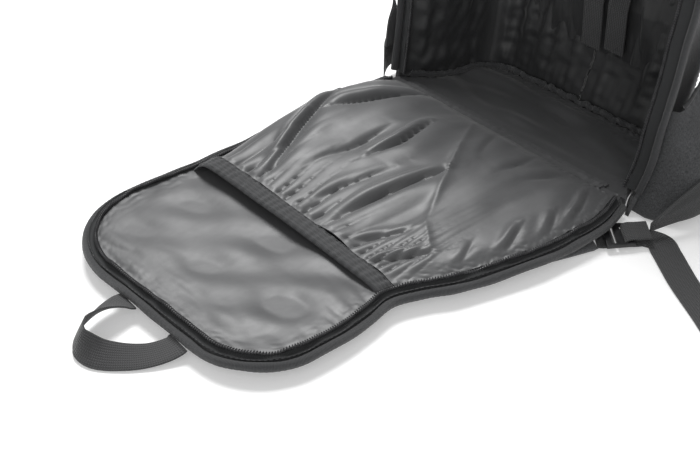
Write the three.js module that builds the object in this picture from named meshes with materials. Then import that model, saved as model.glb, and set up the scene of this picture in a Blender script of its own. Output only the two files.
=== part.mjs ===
// A laptop backpack with its padded back panel unzipped and laid open on the floor.
// Units are millimetres and +Z is up. The origin is the centre of the base's flat underside.
// The body stands on its base, +Y runs from the hinge to the front wall, and the back panel
// lies along -Y with its lining and laptop sleeve upwards.
import * as THREE from "three";
import { mergeVertices } from "three/addons/utils/BufferGeometryUtils.js";

// Body
const BODY_WIDTH = 316;
const BODY_DEPTH = 112;
const BODY_HEIGHT = 420;
const BODY_CORNER_RADIUS = 90;
const FRONT_FILLET = 48;
const FRONT_BULGE = 22;
const WALL_THICK = 4;
const LINING_THICK = 1;
const BASE_THICK = 6;
const HINGE_RISE = 9;
const HINGE_RISE_DEPTH = 55;
const FOOT_BAND = 20;

// Back panel, measured from the hinge to its tip
const PANEL_LENGTH = 408;
const PANEL_WIDTH = 280;
const PANEL_THICK = 9;
const PANEL_CORNER_LEFT = 92;
const PANEL_CORNER_RIGHT = 58;
const PANEL_SKEW = 0.05;

// Zipper and bindings
const TAPE_WIDTH = 12;
const TAPE_THICK = 1.4;
const CHAIN_DIAMETER = 4;
const BINDING_DIAMETER = 7;
const PANEL_BINDING_DIAMETER = 7;
const SEAM_BINDING_DIAMETER = 7;
const BINDING_STAND = 1;
const TAPE_SLOPE = 0.75;
const RIM_OVERHANG = 1;
const ZIP_INSET = 6;
const HINGE_REACH = 8;
const HINGE_THICK = 1.6;

// Laptop sleeve
const SLEEVE_LENGTH = 245;
const SLEEVE_THICK = 1.6;
const SLEEVE_RISE = 32;
const SLEEVE_INSET = 11;
const BAND_WIDTH = 18;
const BAND_THICK = 2.6;

// Webbing, straps and buckles
const HANDLE_WIDTH = 26;
const HANDLE_ROOT = 0.45;
const WEBBING_WIDTH = 28;
const WEBBING_THICK = 1.8;
const STRAP_THICK = 8;
const LOCK_LENGTH = 26;
const LOCK_THICK = 3.6;
const LOCK_SLOT = 4.5;
const LOCK_RAIL = 4;
const LOCK_OUT_LEFT = -10;
const LOCK_OUT_RIGHT = 18;
const LOCK_BACK_LEFT = -33;
const LOCK_BACK_RIGHT = -34.6;
const LOCK_TURN_LEFT = 10;
const LOCK_TURN_RIGHT = 38;
const LOCK_BAR = 3;
const TAIL_UNDER_LOCK = [-2, 7, 16];
const WING_NEAR = 28.1;
const WING_LIFT = 5;
const WING_OUT_LEFT = 6;
const WING_FOOT_LEFT = 6;
const WING_HEIGHT_LEFT = 40;
const WING_BULGE_LEFT = 10;
const SIDE_WEBBING_WIDTH = 20;
const SIDE_WEBBING_SEWN = 0.88;
const WING_THICK = 1.5;
const TAIL_LENGTH = 150;

// Pockets
const POCKET_THICK = 1.6;
const POCKET_LOW = 96;
const POCKET_HIGH = 150;
const POCKET_BINDING = 5;
const POCKET_BOUND = 0.05;
const POCKET_FULLNESS = 0.35;
const POCKET_FROM_LEFT = 16;
const POCKET_FROM_RIGHT = 7;
const POCKET_FOOT = 3;
const SPLAY_LEFT = 36;
const SPLAY_RIGHT = 66;
const INNER_POCKET_WIDTH = 208;
const INNER_POCKET_FOOT = 62;
const INNER_POCKET_HEIGHT = 165;
const INNER_POCKET_BULGE = 12;
const INNER_POCKET_FLARE = 3;
const INNER_POCKET_DRAW = 0.1;
const INNER_STRAP_WIDTH = 24;
const INNER_STRAP_LEFT = -2;
const INNER_STRAP_RIGHT = 31;
const INNER_STRAP_LENGTH = 250;
const INNER_STRAP_DROP = 16;
const INNER_STRAP_FOOT = 4;

// Gap between pieces that touch, and the looser one behind a lining
const CLEAR = 0.3;
const LINING_GAP = 1.2;

const HINGE_Y = -BODY_DEPTH / 2;
const LINING_INSET = WALL_THICK + LINING_GAP;
const INSIDE = LINING_INSET + LINING_THICK + CLEAR;
const PANEL_FOOT = STRAP_THICK + CLEAR;
const LOCK_BASE = PANEL_FOOT - CLEAR - LOCK_THICK;
const PANEL_TOP = PANEL_FOOT + PANEL_THICK;
const LINING_TOP = PANEL_TOP + CLEAR + LINING_THICK;

// Plan of the body: its width at each share of the depth, as a share of BODY_WIDTH
const BODY_PLAN = [
  { deep: 0, wide: 1 },
  { deep: 0.12, wide: 0.94 },
  { deep: 0.25, wide: 0.89 },
  { deep: 0.5, wide: 0.85 },
  { deep: 0.75, wide: 0.83 },
  { deep: 1, wide: 0.82 },
];

// Stance of the body at each share of the height: how far each side leans back, as shares of
// BODY_DEPTH, and how wide each half is, as shares of half of BODY_WIDTH
const BODY_STANCE = [
  { up: 0, left: 0.02, right: 0.02, wideLeft: 0.968, wideRight: 1 },
  { up: 0.1, left: 0.09, right: 0.21, wideLeft: 0.985, wideRight: 1.028 },
  { up: 0.2, left: 0.15, right: 0.27, wideLeft: 1, wideRight: 1.048 },
  { up: 0.3, left: 0.21, right: 0.31, wideLeft: 1.03, wideRight: 1.078 },
  { up: 0.4, left: 0.26, right: 0.34, wideLeft: 1.06, wideRight: 1.1 },
  { up: 0.5, left: 0.31, right: 0.37, wideLeft: 1.09, wideRight: 1.125 },
  { up: 0.75, left: 0.41, right: 0.44, wideLeft: 1.08, wideRight: 1.1 },
  { up: 1, left: 0.5, right: 0.5, wideLeft: 1, wideRight: 1 },
];

// Outline of the opened panel: half widths at each share of its length,
// as shares of half of PANEL_WIDTH
const PANEL_OUTLINE = [
  { along: 0, left: 1.06, right: 1.08 },
  { along: 0.1, left: 1.08, right: 1.18 },
  { along: 0.2, left: 1.08, right: 1.2 },
  { along: 0.3, left: 1.06, right: 1.19 },
  { along: 0.4, left: 1.02, right: 1.14 },
  { along: 0.5, left: 0.985, right: 1.07 },
  { along: 0.56, left: 0.97, right: 0.99 },
  { along: 0.63, left: 0.965, right: 0.935 },
  { along: 0.7, left: 0.97, right: 0.98 },
  { along: 0.79, left: 0.975, right: 1.02 },
  { along: 1, left: 0.98, right: 1.03 },
];

// Rise of the sleeve over the panel, across it and along it, as shares of SLEEVE_RISE
const SLEEVE_ACROSS = [
  { across: -1, rise: 0 },
  { across: -0.93, rise: 0.62 },
  { across: -0.84, rise: 0.98 },
  { across: -0.6, rise: 1 },
  { across: -0.3, rise: 0.88 },
  { across: 0, rise: 0.8 },
  { across: 0.35, rise: 0.62 },
  { across: 0.65, rise: 0.42 },
  { across: 0.88, rise: 0.26 },
  { across: 1, rise: 0 },
];
const SLEEVE_ALONG = [
  { along: 0, rise: 0.06 },
  { along: 0.08, rise: 0.45 },
  { along: 0.25, rise: 0.85 },
  { along: 0.5, rise: 1 },
  { along: 0.75, rise: 0.88 },
  { along: 0.92, rise: 0.62 },
  { along: 1, rise: 0.55 },
];

// Main folds of the sleeve, each a line from one end to the other: across in shares of the
// half width, along in shares of SLEEVE_LENGTH, lift in shares of SLEEVE_RISE
const SLEEVE_FOLDS = [
  { fromAcross: -0.86, fromAlong: 0.43, toAcross: -0.42, toAlong: 0.94, lift: -0.3, wide: 0.06 },
  { fromAcross: -0.71, fromAlong: 0.48, toAcross: -0.6, toAlong: 0.09, lift: -0.34, wide: 0.06 },
  { fromAcross: -0.12, fromAlong: 0.6, toAcross: -0.18, toAlong: 0.27, lift: -0.26, wide: 0.08 },
  { fromAcross: 0.2, fromAlong: 0.9, toAcross: 0.28, toAlong: 0.45, lift: -0.2, wide: 0.07 },
  { fromAcross: -0.12, fromAlong: 0.06, toAcross: 0.82, toAlong: 0.81, lift: 0.2, wide: 0.08 },
  { fromAcross: 0.62, fromAlong: 0.97, toAcross: 0.75, toAlong: 0.81, lift: -0.14, wide: 0.05 },
];

// Cross-section of a side pocket from the wall's foot, over its bottom, up to its mouth:
// left and right in shares of that side's splay, up in shares of the mouth's height
const POCKET_SECTION = [
  { run: 0, left: 0, right: 0, up: 0 },
  { run: 0.12, left: 0.8, right: 0.8, up: 0 },
  { run: 0.2, left: 1, right: 1, up: 0.1 },
  { run: 0.45, left: 0.98, right: 0.95, up: 0.38 },
  { run: 0.75, left: 0.8, right: 0.62, up: 0.72 },
  { run: 1, left: 0.58, right: 0.3, up: 1 },
];

// Centre line and width of a shoulder strap under the panel: shares of PANEL_LENGTH,
// and of half of PANEL_WIDTH
const STRAP_LINE = [
  { run: 0, along: 0.93, left: 0.3, right: 0.3, half: 0.2 },
  { run: 0.2, along: 0.78, left: 0.36, right: 0.36, half: 0.22 },
  { run: 0.4, along: 0.6, left: 0.56, right: 0.56, half: 0.23 },
  { run: 0.6, along: 0.42, left: 0.78, right: 0.78, half: 0.23 },
  { run: 0.8, along: 0.26, left: 0.93, right: 1, half: 0.18 },
  { run: 1, along: 0.131, left: 1.008, right: 1.18, half: 0.11 },
];

// Route of the grab handle: shares of PANEL_WIDTH beside the tip's middle and beyond it,
// the height of the middle of the webbing, and its turn about its own length in degrees
const HANDLE_ROUTE = [
  { beside: -0.024, beyond: -0.012, height: 11, turn: 0 },
  { beside: -0.026, beyond: 0.025, height: 12.5, turn: 6 },
  { beside: -0.022, beyond: 0.072, height: 15.5, turn: 26 },
  { beside: -0.012, beyond: 0.125, height: 17.5, turn: 48 },
  { beside: 0.004, beyond: 0.18, height: 17, turn: 64 },
  { beside: 0.044, beyond: 0.216, height: 14, turn: 66 },
  { beside: 0.1, beyond: 0.206, height: 9.5, turn: 40 },
  { beside: 0.155, beyond: 0.152, height: 6, turn: 20 },
  { beside: 0.2, beyond: 0.083, height: 5, turn: 8 },
  { beside: 0.224, beyond: 0.017, height: 7.5, turn: 2 },
  { beside: 0.226, beyond: -0.012, height: 10, turn: 0 },
];

// Routes of the two webbing tails on the floor: out from the body's rim and back from the
// hinge, in shares of TAIL_LENGTH
const TAIL_ROUTE_RIGHT = [
  { out: 0.2, back: -0.105, height: 1.5 },
  { out: 0.3, back: -0.065, height: 1.2 },
  { out: 0.4, back: -0.12, height: 1.2 },
  { out: 0.64, back: -0.27, height: 1.2 },
  { out: 0.94, back: -0.43, height: 1.2 },
  { out: 1.13, back: -0.54, height: 1.2 },
];
const TAIL_ROUTE_LEFT = [
  { along: -3, over: -3.45 },
  { along: 8, over: -3.45 },
  { along: 18, over: -3.45 },
  { along: 30, over: -3.45 },
];

// Routes of the webbing through the ladder lock: along the lock in mm, and height over its
// underside
const ANCHOR_ROUTE_LEFT = [
  { along: 5.25, over: 1.4 },
  { along: 7, over: -1.2 },
  { along: 11, over: -1.3 },
  { along: 18, over: -1.3 },
  { along: 31.2, over: -1.3 },
];
const ANCHOR_ROUTE_RIGHT = [
  { along: 5.25, over: 1.2 },
  { along: 6, over: 4.2 },
  { along: 10, over: 5.7 },
  { along: 17, over: 5.7 },
  { along: 27.5, over: 6.2 },
];
const LOOP_ROUTE = [
  { along: -20, over: -1.2 },
  { along: -15, over: -1.8 },
  { along: -11, over: -1.6 },
  { along: -7, over: -1.2 },
  { along: -5.25, over: 1.4 },
];

// Webbing that hangs beside the body's left rim: height, out from the straight side and back
// from the hinge in mm, and the direction of its width seen from above in degrees
const SIDE_WEBBING_ROUTE = [
  { run: 0, height: 46, out: 4.1, back: 9, facing: 90 },
  { run: 0.18, height: 72, out: 8, back: 13, facing: 108 },
  { run: 0.34, height: 95, out: 11, back: 16.5, facing: 138 },
  { run: 0.6, height: 130, out: 12.4, back: 26, facing: 112 },
  { run: 1, height: 186, out: 9, back: 45, facing: 62 },
];

const MATERIALS = {
  melange: { color: 0x53555a, roughness: 0.9 },
  satin: { color: 0x6a6b6e, roughness: 0.45 },
  webbing: { color: 0x47484b, roughness: 0.75 },
  binding: { color: 0x333436, roughness: 0.8 },
  zipper: { color: 0x1d1d1f, roughness: 0.5 },
  plastic: { color: 0x161617, roughness: 0.4 },
};

const backpack = new THREE.Group();

// Stations of a side pocket along the body and up its section, and the part of them that
// the wing lies on
const POCKET_RUNS = [0, 0.06, 0.15, 0.3, 0.5, 0.7, 0.85, 0.94, 1];
const POCKET_CLIMBS = [0, 0.12, 0.2, 0.3, 0.4, 0.5, 0.7, 0.85, 1];
const WING_CLIMBS = [0.2, 0.3, 0.4, 0.5];
const WING_FROM = 0.3;
const WING_FREE_RUNS = [-1, -0.75, -0.5, -0.25];

// Reads a column of a table at a place between its rows, along a smooth curve
function readTable(table, key, place, column) {
  const last = table.length - 1;
  const at = THREE.MathUtils.clamp(place, table[0][key], table[last][key]);
  let row = 0;
  while (row < last - 1 && table[row + 1][key] < at) {
    row += 1;
  }
  const low = table[row];
  const high = table[row + 1];
  const span = high[key] - low[key];
  const share = (at - low[key]) / span;
  const before = table[Math.max(row - 1, 0)];
  const after = table[Math.min(row + 2, last)];
  const slopeLow = ((high[column] - before[column]) / (high[key] - before[key])) * span;
  const slopeHigh = ((after[column] - low[column]) / (after[key] - low[key])) * span;
  const square = share * share;
  const cube = square * share;
  return (2 * cube - 3 * square + 1) * low[column] + (cube - 2 * square + share) * slopeLow
    + (3 * square - 2 * cube) * high[column] + (cube - square) * slopeHigh;
}

// Evenly spaced numbers from one end to the other
function steps(from, to, count) {
  return Array.from({ length: count + 1 }, (_, index) => from + ((to - from) * index) / count);
}

// Turns a list of points and triangles into one closed mesh whose faces point outwards
function closedGeometry(points, triangles) {
  const loose = new THREE.BufferGeometry();
  loose.setAttribute("position", new THREE.Float32BufferAttribute(points.flatMap((p) => p.toArray()), 3));
  loose.setIndex(triangles.flat());
  const merged = mergeVertices(loose, 1e-3);
  const index = merged.getIndex().array;
  const place = merged.getAttribute("position");
  const corners = [new THREE.Vector3(), new THREE.Vector3(), new THREE.Vector3()];
  const kept = [];
  let volume = 0;
  for (let start = 0; start < index.length; start += 3) {
    const [a, b, c] = [index[start], index[start + 1], index[start + 2]];
    if (a !== b && b !== c && c !== a) {
      kept.push([a, b, c]);
      [a, b, c].forEach((corner, order) => corners[order].fromBufferAttribute(place, corner));
      volume += corners[0].dot(corners[1].clone().cross(corners[2]));
    }
  }
  merged.setIndex(kept.flatMap(([a, b, c]) => (volume > 0 ? [a, b, c] : [a, c, b])));
  merged.computeVertexNormals();
  return merged;
}

// A sheet with two faces and walls round its edge. surface(u, v, face) gives the point of
// face 0 or 1. A joined edge is one where the sheet meets itself, so it gets no wall.
function closedSheet(us, vs, surface, joined = {}) {
  const points = [];
  const triangles = [];
  const columns = us.length;
  const rows = vs.length;
  const at = (face, row, column) => face * rows * columns + row * columns + column;
  const quad = (a, b, c, d) => triangles.push([a, b, c], [a, c, d]);
  [0, 1].forEach((face) => vs.forEach((v) => us.forEach((u) => points.push(surface(u, v, face)))));
  for (let row = 0; row < rows - 1; row += 1) {
    for (let column = 0; column < columns - 1; column += 1) {
      quad(at(1, row, column), at(1, row, column + 1), at(1, row + 1, column + 1), at(1, row + 1, column));
      quad(at(0, row, column), at(0, row + 1, column), at(0, row + 1, column + 1), at(0, row, column + 1));
    }
    if (!joined.uStart) {
      quad(at(0, row, 0), at(1, row, 0), at(1, row + 1, 0), at(0, row + 1, 0));
    }
    if (!joined.uEnd) {
      const end = columns - 1;
      quad(at(1, row, end), at(0, row, end), at(0, row + 1, end), at(1, row + 1, end));
    }
  }
  for (let column = 0; column < columns - 1; column += 1) {
    if (!joined.vStart) {
      quad(at(0, 0, column), at(0, 0, column + 1), at(1, 0, column + 1), at(1, 0, column));
    }
    if (!joined.vEnd) {
      const end = rows - 1;
      quad(at(1, end, column), at(1, end, column + 1), at(0, end, column + 1), at(0, end, column));
    }
  }
  return closedGeometry(points, triangles);
}

// A round cord of binding carried along a list of points
function roundAlong(path, diameter, sides) {
  const points = [];
  const triangles = [];
  const tangent = new THREE.Vector3();
  path.forEach((point, index) => {
    const next = path[Math.min(index + 1, path.length - 1)];
    const last = path[Math.max(index - 1, 0)];
    tangent.subVectors(next, last).normalize();
    const lead = Math.abs(tangent.y) > 0.9 ? new THREE.Vector3(0, 0, 1) : new THREE.Vector3(0, 1, 0);
    const first = new THREE.Vector3().crossVectors(tangent, lead).normalize();
    const second = new THREE.Vector3().crossVectors(tangent, first).normalize();
    for (let side = 0; side < sides; side += 1) {
      const angle = (side / sides) * 2 * Math.PI;
      const reach = diameter / 2;
      points.push(point.clone().addScaledVector(first, Math.cos(angle) * reach)
        .addScaledVector(second, Math.sin(angle) * reach));
    }
  });
  for (let ring = 0; ring < path.length - 1; ring += 1) {
    for (let side = 0; side < sides; side += 1) {
      const a = ring * sides + side;
      const b = ring * sides + ((side + 1) % sides);
      triangles.push([a, b, b + sides], [a, b + sides, a + sides]);
    }
  }
  const end = (path.length - 1) * sides;
  for (let side = 1; side < sides - 1; side += 1) {
    triangles.push([0, side + 1, side], [end, end + side, end + side + 1]);
  }
  return closedGeometry(points, triangles);
}

// A flat ribbon along rows of { point, turn }: turn leans its flat about its own length
function ribbon(rows, width, thick, count) {
  const curve = new THREE.CatmullRomCurve3(rows.map((row) => row.point), false, "centripetal");
  const turnAt = (share) => {
    const place = share * (rows.length - 1);
    const low = Math.min(Math.floor(place), rows.length - 2);
    return THREE.MathUtils.degToRad(THREE.MathUtils.lerp(rows[low].turn, rows[low + 1].turn, place - low));
  };
  return closedSheet([-0.5, 0.5], steps(0, 1, count), (u, v, face) => {
    const tangent = curve.getTangent(v);
    const across = new THREE.Vector3(tangent.y, -tangent.x, 0).normalize();
    const normal = new THREE.Vector3().crossVectors(across, tangent).normalize();
    across.applyAxisAngle(tangent, turnAt(v));
    normal.applyAxisAngle(tangent, turnAt(v));
    const place = curve.getPoint(v).addScaledVector(across, u * width);
    return place.addScaledVector(normal, (face - 0.5) * thick);
  });
}

function addPiece(name, geometry, look) {
  const material = new THREE.MeshStandardMaterial({ ...MATERIALS[look], metalness: 0 });
  const mesh = new THREE.Mesh(geometry, material);
  mesh.name = name;
  backpack.add(mesh);
}

// Shape shared by the body's walls

// Puts a point of the straight body where the leaning, spread body has it
function settle(x, depth, height) {
  const up = height / BODY_HEIGHT;
  const deep = depth / BODY_DEPTH;
  const side = THREE.MathUtils.clamp((2 * x) / BODY_WIDTH, -1, 1);
  const toRight = (side + 1) / 2;
  const left = readTable(BODY_STANCE, "up", up, "left");
  const right = readTable(BODY_STANCE, "up", up, "right");
  const back = BODY_DEPTH * THREE.MathUtils.lerp(left, right, toRight);
  const wideLeft = readTable(BODY_STANCE, "up", up, "wideLeft");
  const wideRight = readTable(BODY_STANCE, "up", up, "wideRight");
  const wide = readTable(BODY_PLAN, "deep", deep, "wide") * THREE.MathUtils.lerp(wideLeft, wideRight, toRight);
  const across = 1 - side * side;
  const bulge = FRONT_BULGE * Math.sin(Math.PI * Math.min(up, 1)) * across * Math.max(deep, 0) ** 2;
  return new THREE.Vector3(x * wide, HINGE_Y + depth + back + bulge, height);
}

// Point of the arched outline at a share of its length, from the left foot over the top to
// the right foot, moved inwards by the inset
function archPoint(share, inset) {
  const straight = BODY_HEIGHT - BODY_CORNER_RADIUS;
  const arc = (BODY_CORNER_RADIUS * Math.PI) / 2;
  const flat = BODY_WIDTH - 2 * BODY_CORNER_RADIUS;
  const half = BODY_WIDTH / 2 - inset;
  const radius = BODY_CORNER_RADIUS - inset;
  const run = share * (2 * straight + 2 * arc + flat);
  const mirrored = 2 * straight + 2 * arc + flat - run;
  const side = run <= mirrored ? -1 : 1;
  const near = Math.min(run, mirrored);
  if (near <= straight) {
    return { x: side * half, height: near };
  }
  if (near <= straight + arc) {
    const angle = (near - straight) / BODY_CORNER_RADIUS;
    return {
      x: side * (half - radius + radius * Math.cos(angle)),
      height: straight + radius * Math.sin(angle),
    };
  }
  const rest = near - straight - arc;
  return { x: side * (half - radius) * (1 - rest / (flat / 2)), height: straight + radius };
}

function archShare(run) {
  const whole = 2 * (BODY_HEIGHT - BODY_CORNER_RADIUS) + BODY_CORNER_RADIUS * Math.PI + BODY_WIDTH - 2 * BODY_CORNER_RADIUS;
  return run / whole;
}

// Section of a wall that turns from the side into the front: turn runs from 0 at the start
// of the fillet to 90 degrees where the front is flat
function filletSection(turn, off) {
  return {
    inset: FRONT_FILLET - (FRONT_FILLET - off) * Math.cos(turn),
    depth: BODY_DEPTH - FRONT_FILLET + (FRONT_FILLET - off) * Math.sin(turn),
  };
}

// Height of the padded base's top at a depth: it rises towards the hinge
function baseTop(depth) {
  const share = THREE.MathUtils.clamp(1 - depth / HINGE_RISE_DEPTH, 0, 1);
  return BASE_THICK + HINGE_RISE * share * share * (3 - 2 * share);
}

// Lifts the foot of a lining over the floor
function liftFoot(height, foot) {
  return height < FOOT_BAND ? foot + (height * (FOOT_BAND - foot)) / FOOT_BAND : height;
}

// Point of the side or top wall: share runs along the arch, run from the rim to mid-fillet
function gussetPoint(share, run, off, foot) {
  const straight = BODY_DEPTH - FRONT_FILLET;
  const whole = straight + (FRONT_FILLET * Math.PI) / 4;
  const travelled = run * whole;
  const turn = Math.max(travelled - straight, 0) / FRONT_FILLET;
  const section = travelled <= straight ? { inset: off, depth: travelled } : filletSection(turn, off);
  const place = archPoint(share, section.inset);
  const lifted = foot ? liftFoot(place.height, baseTop(section.depth) + foot) : place.height;
  return settle(place.x, section.depth, lifted);
}

// Point of the front wall: across runs from the middle line to mid-fillet
function frontPoint(share, across, off, foot) {
  const curved = 0.3;
  const turned = Math.max(across - (1 - curved), 0) / curved;
  const section = filletSection(Math.PI / 2 - (turned * Math.PI) / 4, off);
  const edge = archPoint(share, section.inset);
  const spine = Math.min(edge.height, BODY_HEIGHT - BODY_CORNER_RADIUS - FRONT_FILLET);
  const flat = Math.min(across / (1 - curved), 1);
  const height = THREE.MathUtils.lerp(spine, edge.height, flat);
  const lifted = foot ? liftFoot(height, baseTop(section.depth) + foot) : height;
  return settle(edge.x * flat, section.depth, lifted);
}

// Stations along the arch for the walls
const SIDE_RUN = BODY_HEIGHT - BODY_CORNER_RADIUS;
const TOP_RUN = BODY_CORNER_RADIUS * Math.PI + BODY_WIDTH - 2 * BODY_CORNER_RADIUS;
const TOP_STEPS = 12;
const SIDE_HEIGHTS = [0, 0.04, 0.1, 0.2, 0.35, 0.52, 0.75, 1];
const GUSSET_RUNS = [0, 0.12, 0.3, 0.55, 0.68, 0.84, 1 - CLEAR / BODY_DEPTH];

function sideStations() {
  return SIDE_HEIGHTS.map((share) => archShare(share * (SIDE_RUN - CLEAR)));
}

function topStations() {
  const runs = steps(SIDE_RUN, SIDE_RUN + TOP_RUN, TOP_STEPS).slice(1, -1);
  return [SIDE_RUN + CLEAR, ...runs, SIDE_RUN + TOP_RUN - CLEAR].map(archShare);
}

function archStations() {
  const whole = 2 * SIDE_RUN + TOP_RUN;
  const left = SIDE_HEIGHTS.map((share) => share * SIDE_RUN);
  const top = steps(SIDE_RUN, SIDE_RUN + TOP_RUN, TOP_STEPS).slice(1, -1);
  const right = left.map((run) => whole - run).reverse();
  return [...left, ...top, ...right].map(archShare);
}

// Outer walls and their lining

function addWalls() {
  const wall = (share, run, face) => gussetPoint(share, run, face * WALL_THICK, 0);
  const left = sideStations();
  const right = left.map((share) => 1 - share).reverse();
  addPiece("side_panel_left", closedSheet(left, GUSSET_RUNS, wall), "melange");
  addPiece("side_panel_right", closedSheet(right, GUSSET_RUNS, wall), "melange");
  addPiece("top_panel", closedSheet(topStations(), GUSSET_RUNS, wall), "melange");
  const front = (share, across, face) => frontPoint(share, across, face * WALL_THICK, 0);
  const acrossSteps = [0, 0.35, 0.7, 0.8, 0.9, 1];
  addPiece("front_panel", closedSheet(archStations(), acrossSteps, front, { vStart: true }), "melange");
}

function addLinings() {
  const foot = LINING_THICK + 2 * CLEAR;
  const lining = (share, run, face) => gussetPoint(share, run, LINING_INSET + face * LINING_THICK, foot);
  const left = sideStations();
  const right = left.map((share) => 1 - share).reverse();
  addPiece("side_lining_left", closedSheet(left, GUSSET_RUNS, lining), "satin");
  addPiece("side_lining_right", closedSheet(right, GUSSET_RUNS, lining), "satin");
  addPiece("top_lining", closedSheet(topStations(), GUSSET_RUNS, lining), "satin");
  const front = (share, across, face) => frontPoint(share, across, LINING_INSET + face * LINING_THICK, foot);
  const acrossSteps = [0, 0.35, 0.7, 0.8, 0.9, 1];
  addPiece("front_lining", closedSheet(archStations(), acrossSteps, front, { vStart: true }), "satin");
}

// Half width of the floor at a depth, inside the walls
function floorHalf(depth, inset) {
  const straight = BODY_DEPTH - FRONT_FILLET;
  const radius = FRONT_FILLET - inset;
  const into = Math.min(Math.max(depth - straight, 0), radius);
  return BODY_WIDTH / 2 - FRONT_FILLET + Math.sqrt(radius * radius - into * into);
}

const FLOOR_DEPTHS = [0, 0.12, 0.25, 0.45, 0.6, 0.75, 0.87, 0.95, 1];

function floorSheet(inset, low, high) {
  const depths = FLOOR_DEPTHS.map((share) => share * (BODY_DEPTH - inset));
  return closedSheet(steps(-1, 1, 8), depths, (across, depth, face) => {
    const place = settle(across * floorHalf(depth, inset), depth, 0);
    place.setZ(face === 0 ? low(depth) : high(depth));
    return place;
  });
}

function addFloor() {
  const inset = WALL_THICK + LINING_GAP;
  addPiece("base_panel", floorSheet(inset, () => 0, baseTop), "melange");
  const low = (depth) => baseTop(depth) + CLEAR;
  const high = (depth) => baseTop(depth) + CLEAR + LINING_THICK;
  addPiece("floor_lining", floorSheet(inset + CLEAR, low, high), "satin");
}

// Ruffled binding where the floor meets the walls
function addFloorSeam() {
  const reach = SEAM_BINDING_DIAMETER / 2;
  const inset = INSIDE + LINING_GAP + reach;
  const path = [];
  const start = 0.1;
  const straight = BODY_DEPTH - FRONT_FILLET;
  const push = (x, depth) => {
    const height = baseTop(depth) + CLEAR + LINING_THICK + CLEAR + reach;
    path.push(settle(x, depth, height));
  };
  steps(start, 1, 4).forEach((share) => push(-(BODY_WIDTH / 2 - inset), share * straight));
  steps(0, Math.PI / 2, 5).slice(1).forEach((turn) => {
    const section = filletSection(turn, inset);
    push(-(BODY_WIDTH / 2 - section.inset), section.depth);
  });
  steps(-1, 1, 6).slice(1, -1).forEach((share) => {
    push(share * (BODY_WIDTH / 2 - FRONT_FILLET), BODY_DEPTH - inset);
  });
  steps(Math.PI / 2, 0, 5).slice(0, -1).forEach((turn) => {
    const section = filletSection(turn, inset);
    push(BODY_WIDTH / 2 - section.inset, section.depth);
  });
  steps(1, start, 4).forEach((share) => push(BODY_WIDTH / 2 - inset, share * straight));
  addPiece("floor_seam_binding", roundAlong(path, SEAM_BINDING_DIAMETER, 6), "binding");
}

// Zipper tape, zipper chain and binding round the body's open rim

function rimStations(start) {
  return archStations().map((share) => Math.min(Math.max(share, start), 1 - start));
}

function rimPoint(share, inset, forward) {
  const place = archPoint(share, inset);
  return settle(place.x, -forward, place.height);
}

function addRim() {
  const start = archShare(LINING_TOP + CHAIN_DIAMETER);
  const stations = rimStations(start);
  const bindingReach = BINDING_DIAMETER / 2;
  const bindingInset = WALL_THICK / 2 - RIM_OVERHANG;
  const binding = stations.map((share) => rimPoint(share, bindingInset, bindingReach + 2 * CLEAR));
  addPiece("body_rim_binding", roundAlong(binding, BINDING_DIAMETER, 6), "binding");
  const tapeInset = bindingInset + bindingReach + 2 * CLEAR;
  const tape = closedSheet(stations, [0, 1], (share, across, face) => {
    const inset = tapeInset + across * TAPE_WIDTH * TAPE_SLOPE + (face * TAPE_THICK) / 2;
    const forward = RIM_OVERHANG + across * TAPE_WIDTH * (1 - TAPE_SLOPE) + (1 - face) * TAPE_THICK;
    return rimPoint(share, inset, forward);
  });
  addPiece("body_zipper_tape", tape, "binding");
  const chainInset = tapeInset + TAPE_WIDTH * TAPE_SLOPE + (CHAIN_DIAMETER + TAPE_THICK) / 2 + CLEAR;
  const chainForward = RIM_OVERHANG + TAPE_WIDTH * (1 - TAPE_SLOPE) + TAPE_THICK / 2;
  const chain = stations.map((share) => rimPoint(share, chainInset, chainForward));
  addPiece("body_zipper_chain", roundAlong(chain, CHAIN_DIAMETER, 6), "zipper");
}

// Back panel

// Half width of the panel on one side at a distance from the hinge
function panelHalf(along, inset, side) {
  const corner = side < 0 ? PANEL_CORNER_LEFT : PANEL_CORNER_RIGHT;
  const column = side < 0 ? "left" : "right";
  const radius = corner - inset;
  const into = Math.min(Math.max(along - (PANEL_LENGTH - corner), 0), radius);
  const round = PANEL_WIDTH / 2 - corner + Math.sqrt(Math.max(radius * radius - into * into, 0));
  const spread = readTable(PANEL_OUTLINE, "along", along / PANEL_LENGTH, column) - 1;
  return round + (spread * PANEL_WIDTH) / 2;
}

function panelPlace(across, along, inset, height) {
  const x = across * panelHalf(along, inset, across) - along * PANEL_SKEW;
  return new THREE.Vector3(x, HINGE_Y - along, height);
}

// Distances from the hinge of the panel's rows, closer where its corners turn
function panelRows(inset, straightCount, cornerCount) {
  const corner = Math.max(PANEL_CORNER_LEFT, PANEL_CORNER_RIGHT);
  const turned = PANEL_LENGTH - corner;
  const straight = steps(CLEAR, turned, straightCount);
  const round = steps(0, Math.PI / 2, cornerCount).slice(1);
  return [...straight, ...round.map((angle) => turned + (corner - inset) * Math.sin(angle))];
}

const STRAIGHT_ROWS = 9;
const CORNER_ROWS = 6;
const PANEL_COLUMNS = [-1, -0.92, -0.84, -0.6, -0.3, 0, 0.3, 0.6, 0.84, 0.92, 1];

function panelSheet(inset, low, high, rows) {
  return closedSheet(PANEL_COLUMNS, rows, (across, along, face) =>
    panelPlace(across, along, inset, face === 0 ? low : high));
}

function addPanel() {
  const rows = panelRows(0, STRAIGHT_ROWS, CORNER_ROWS);
  addPiece("back_panel", panelSheet(0, PANEL_FOOT, PANEL_TOP, rows), "melange");
  const liningRows = panelRows(ZIP_INSET, STRAIGHT_ROWS, CORNER_ROWS);
  addPiece("panel_lining", panelSheet(ZIP_INSET, PANEL_TOP + CLEAR, LINING_TOP, liningRows), "satin");
}

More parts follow.
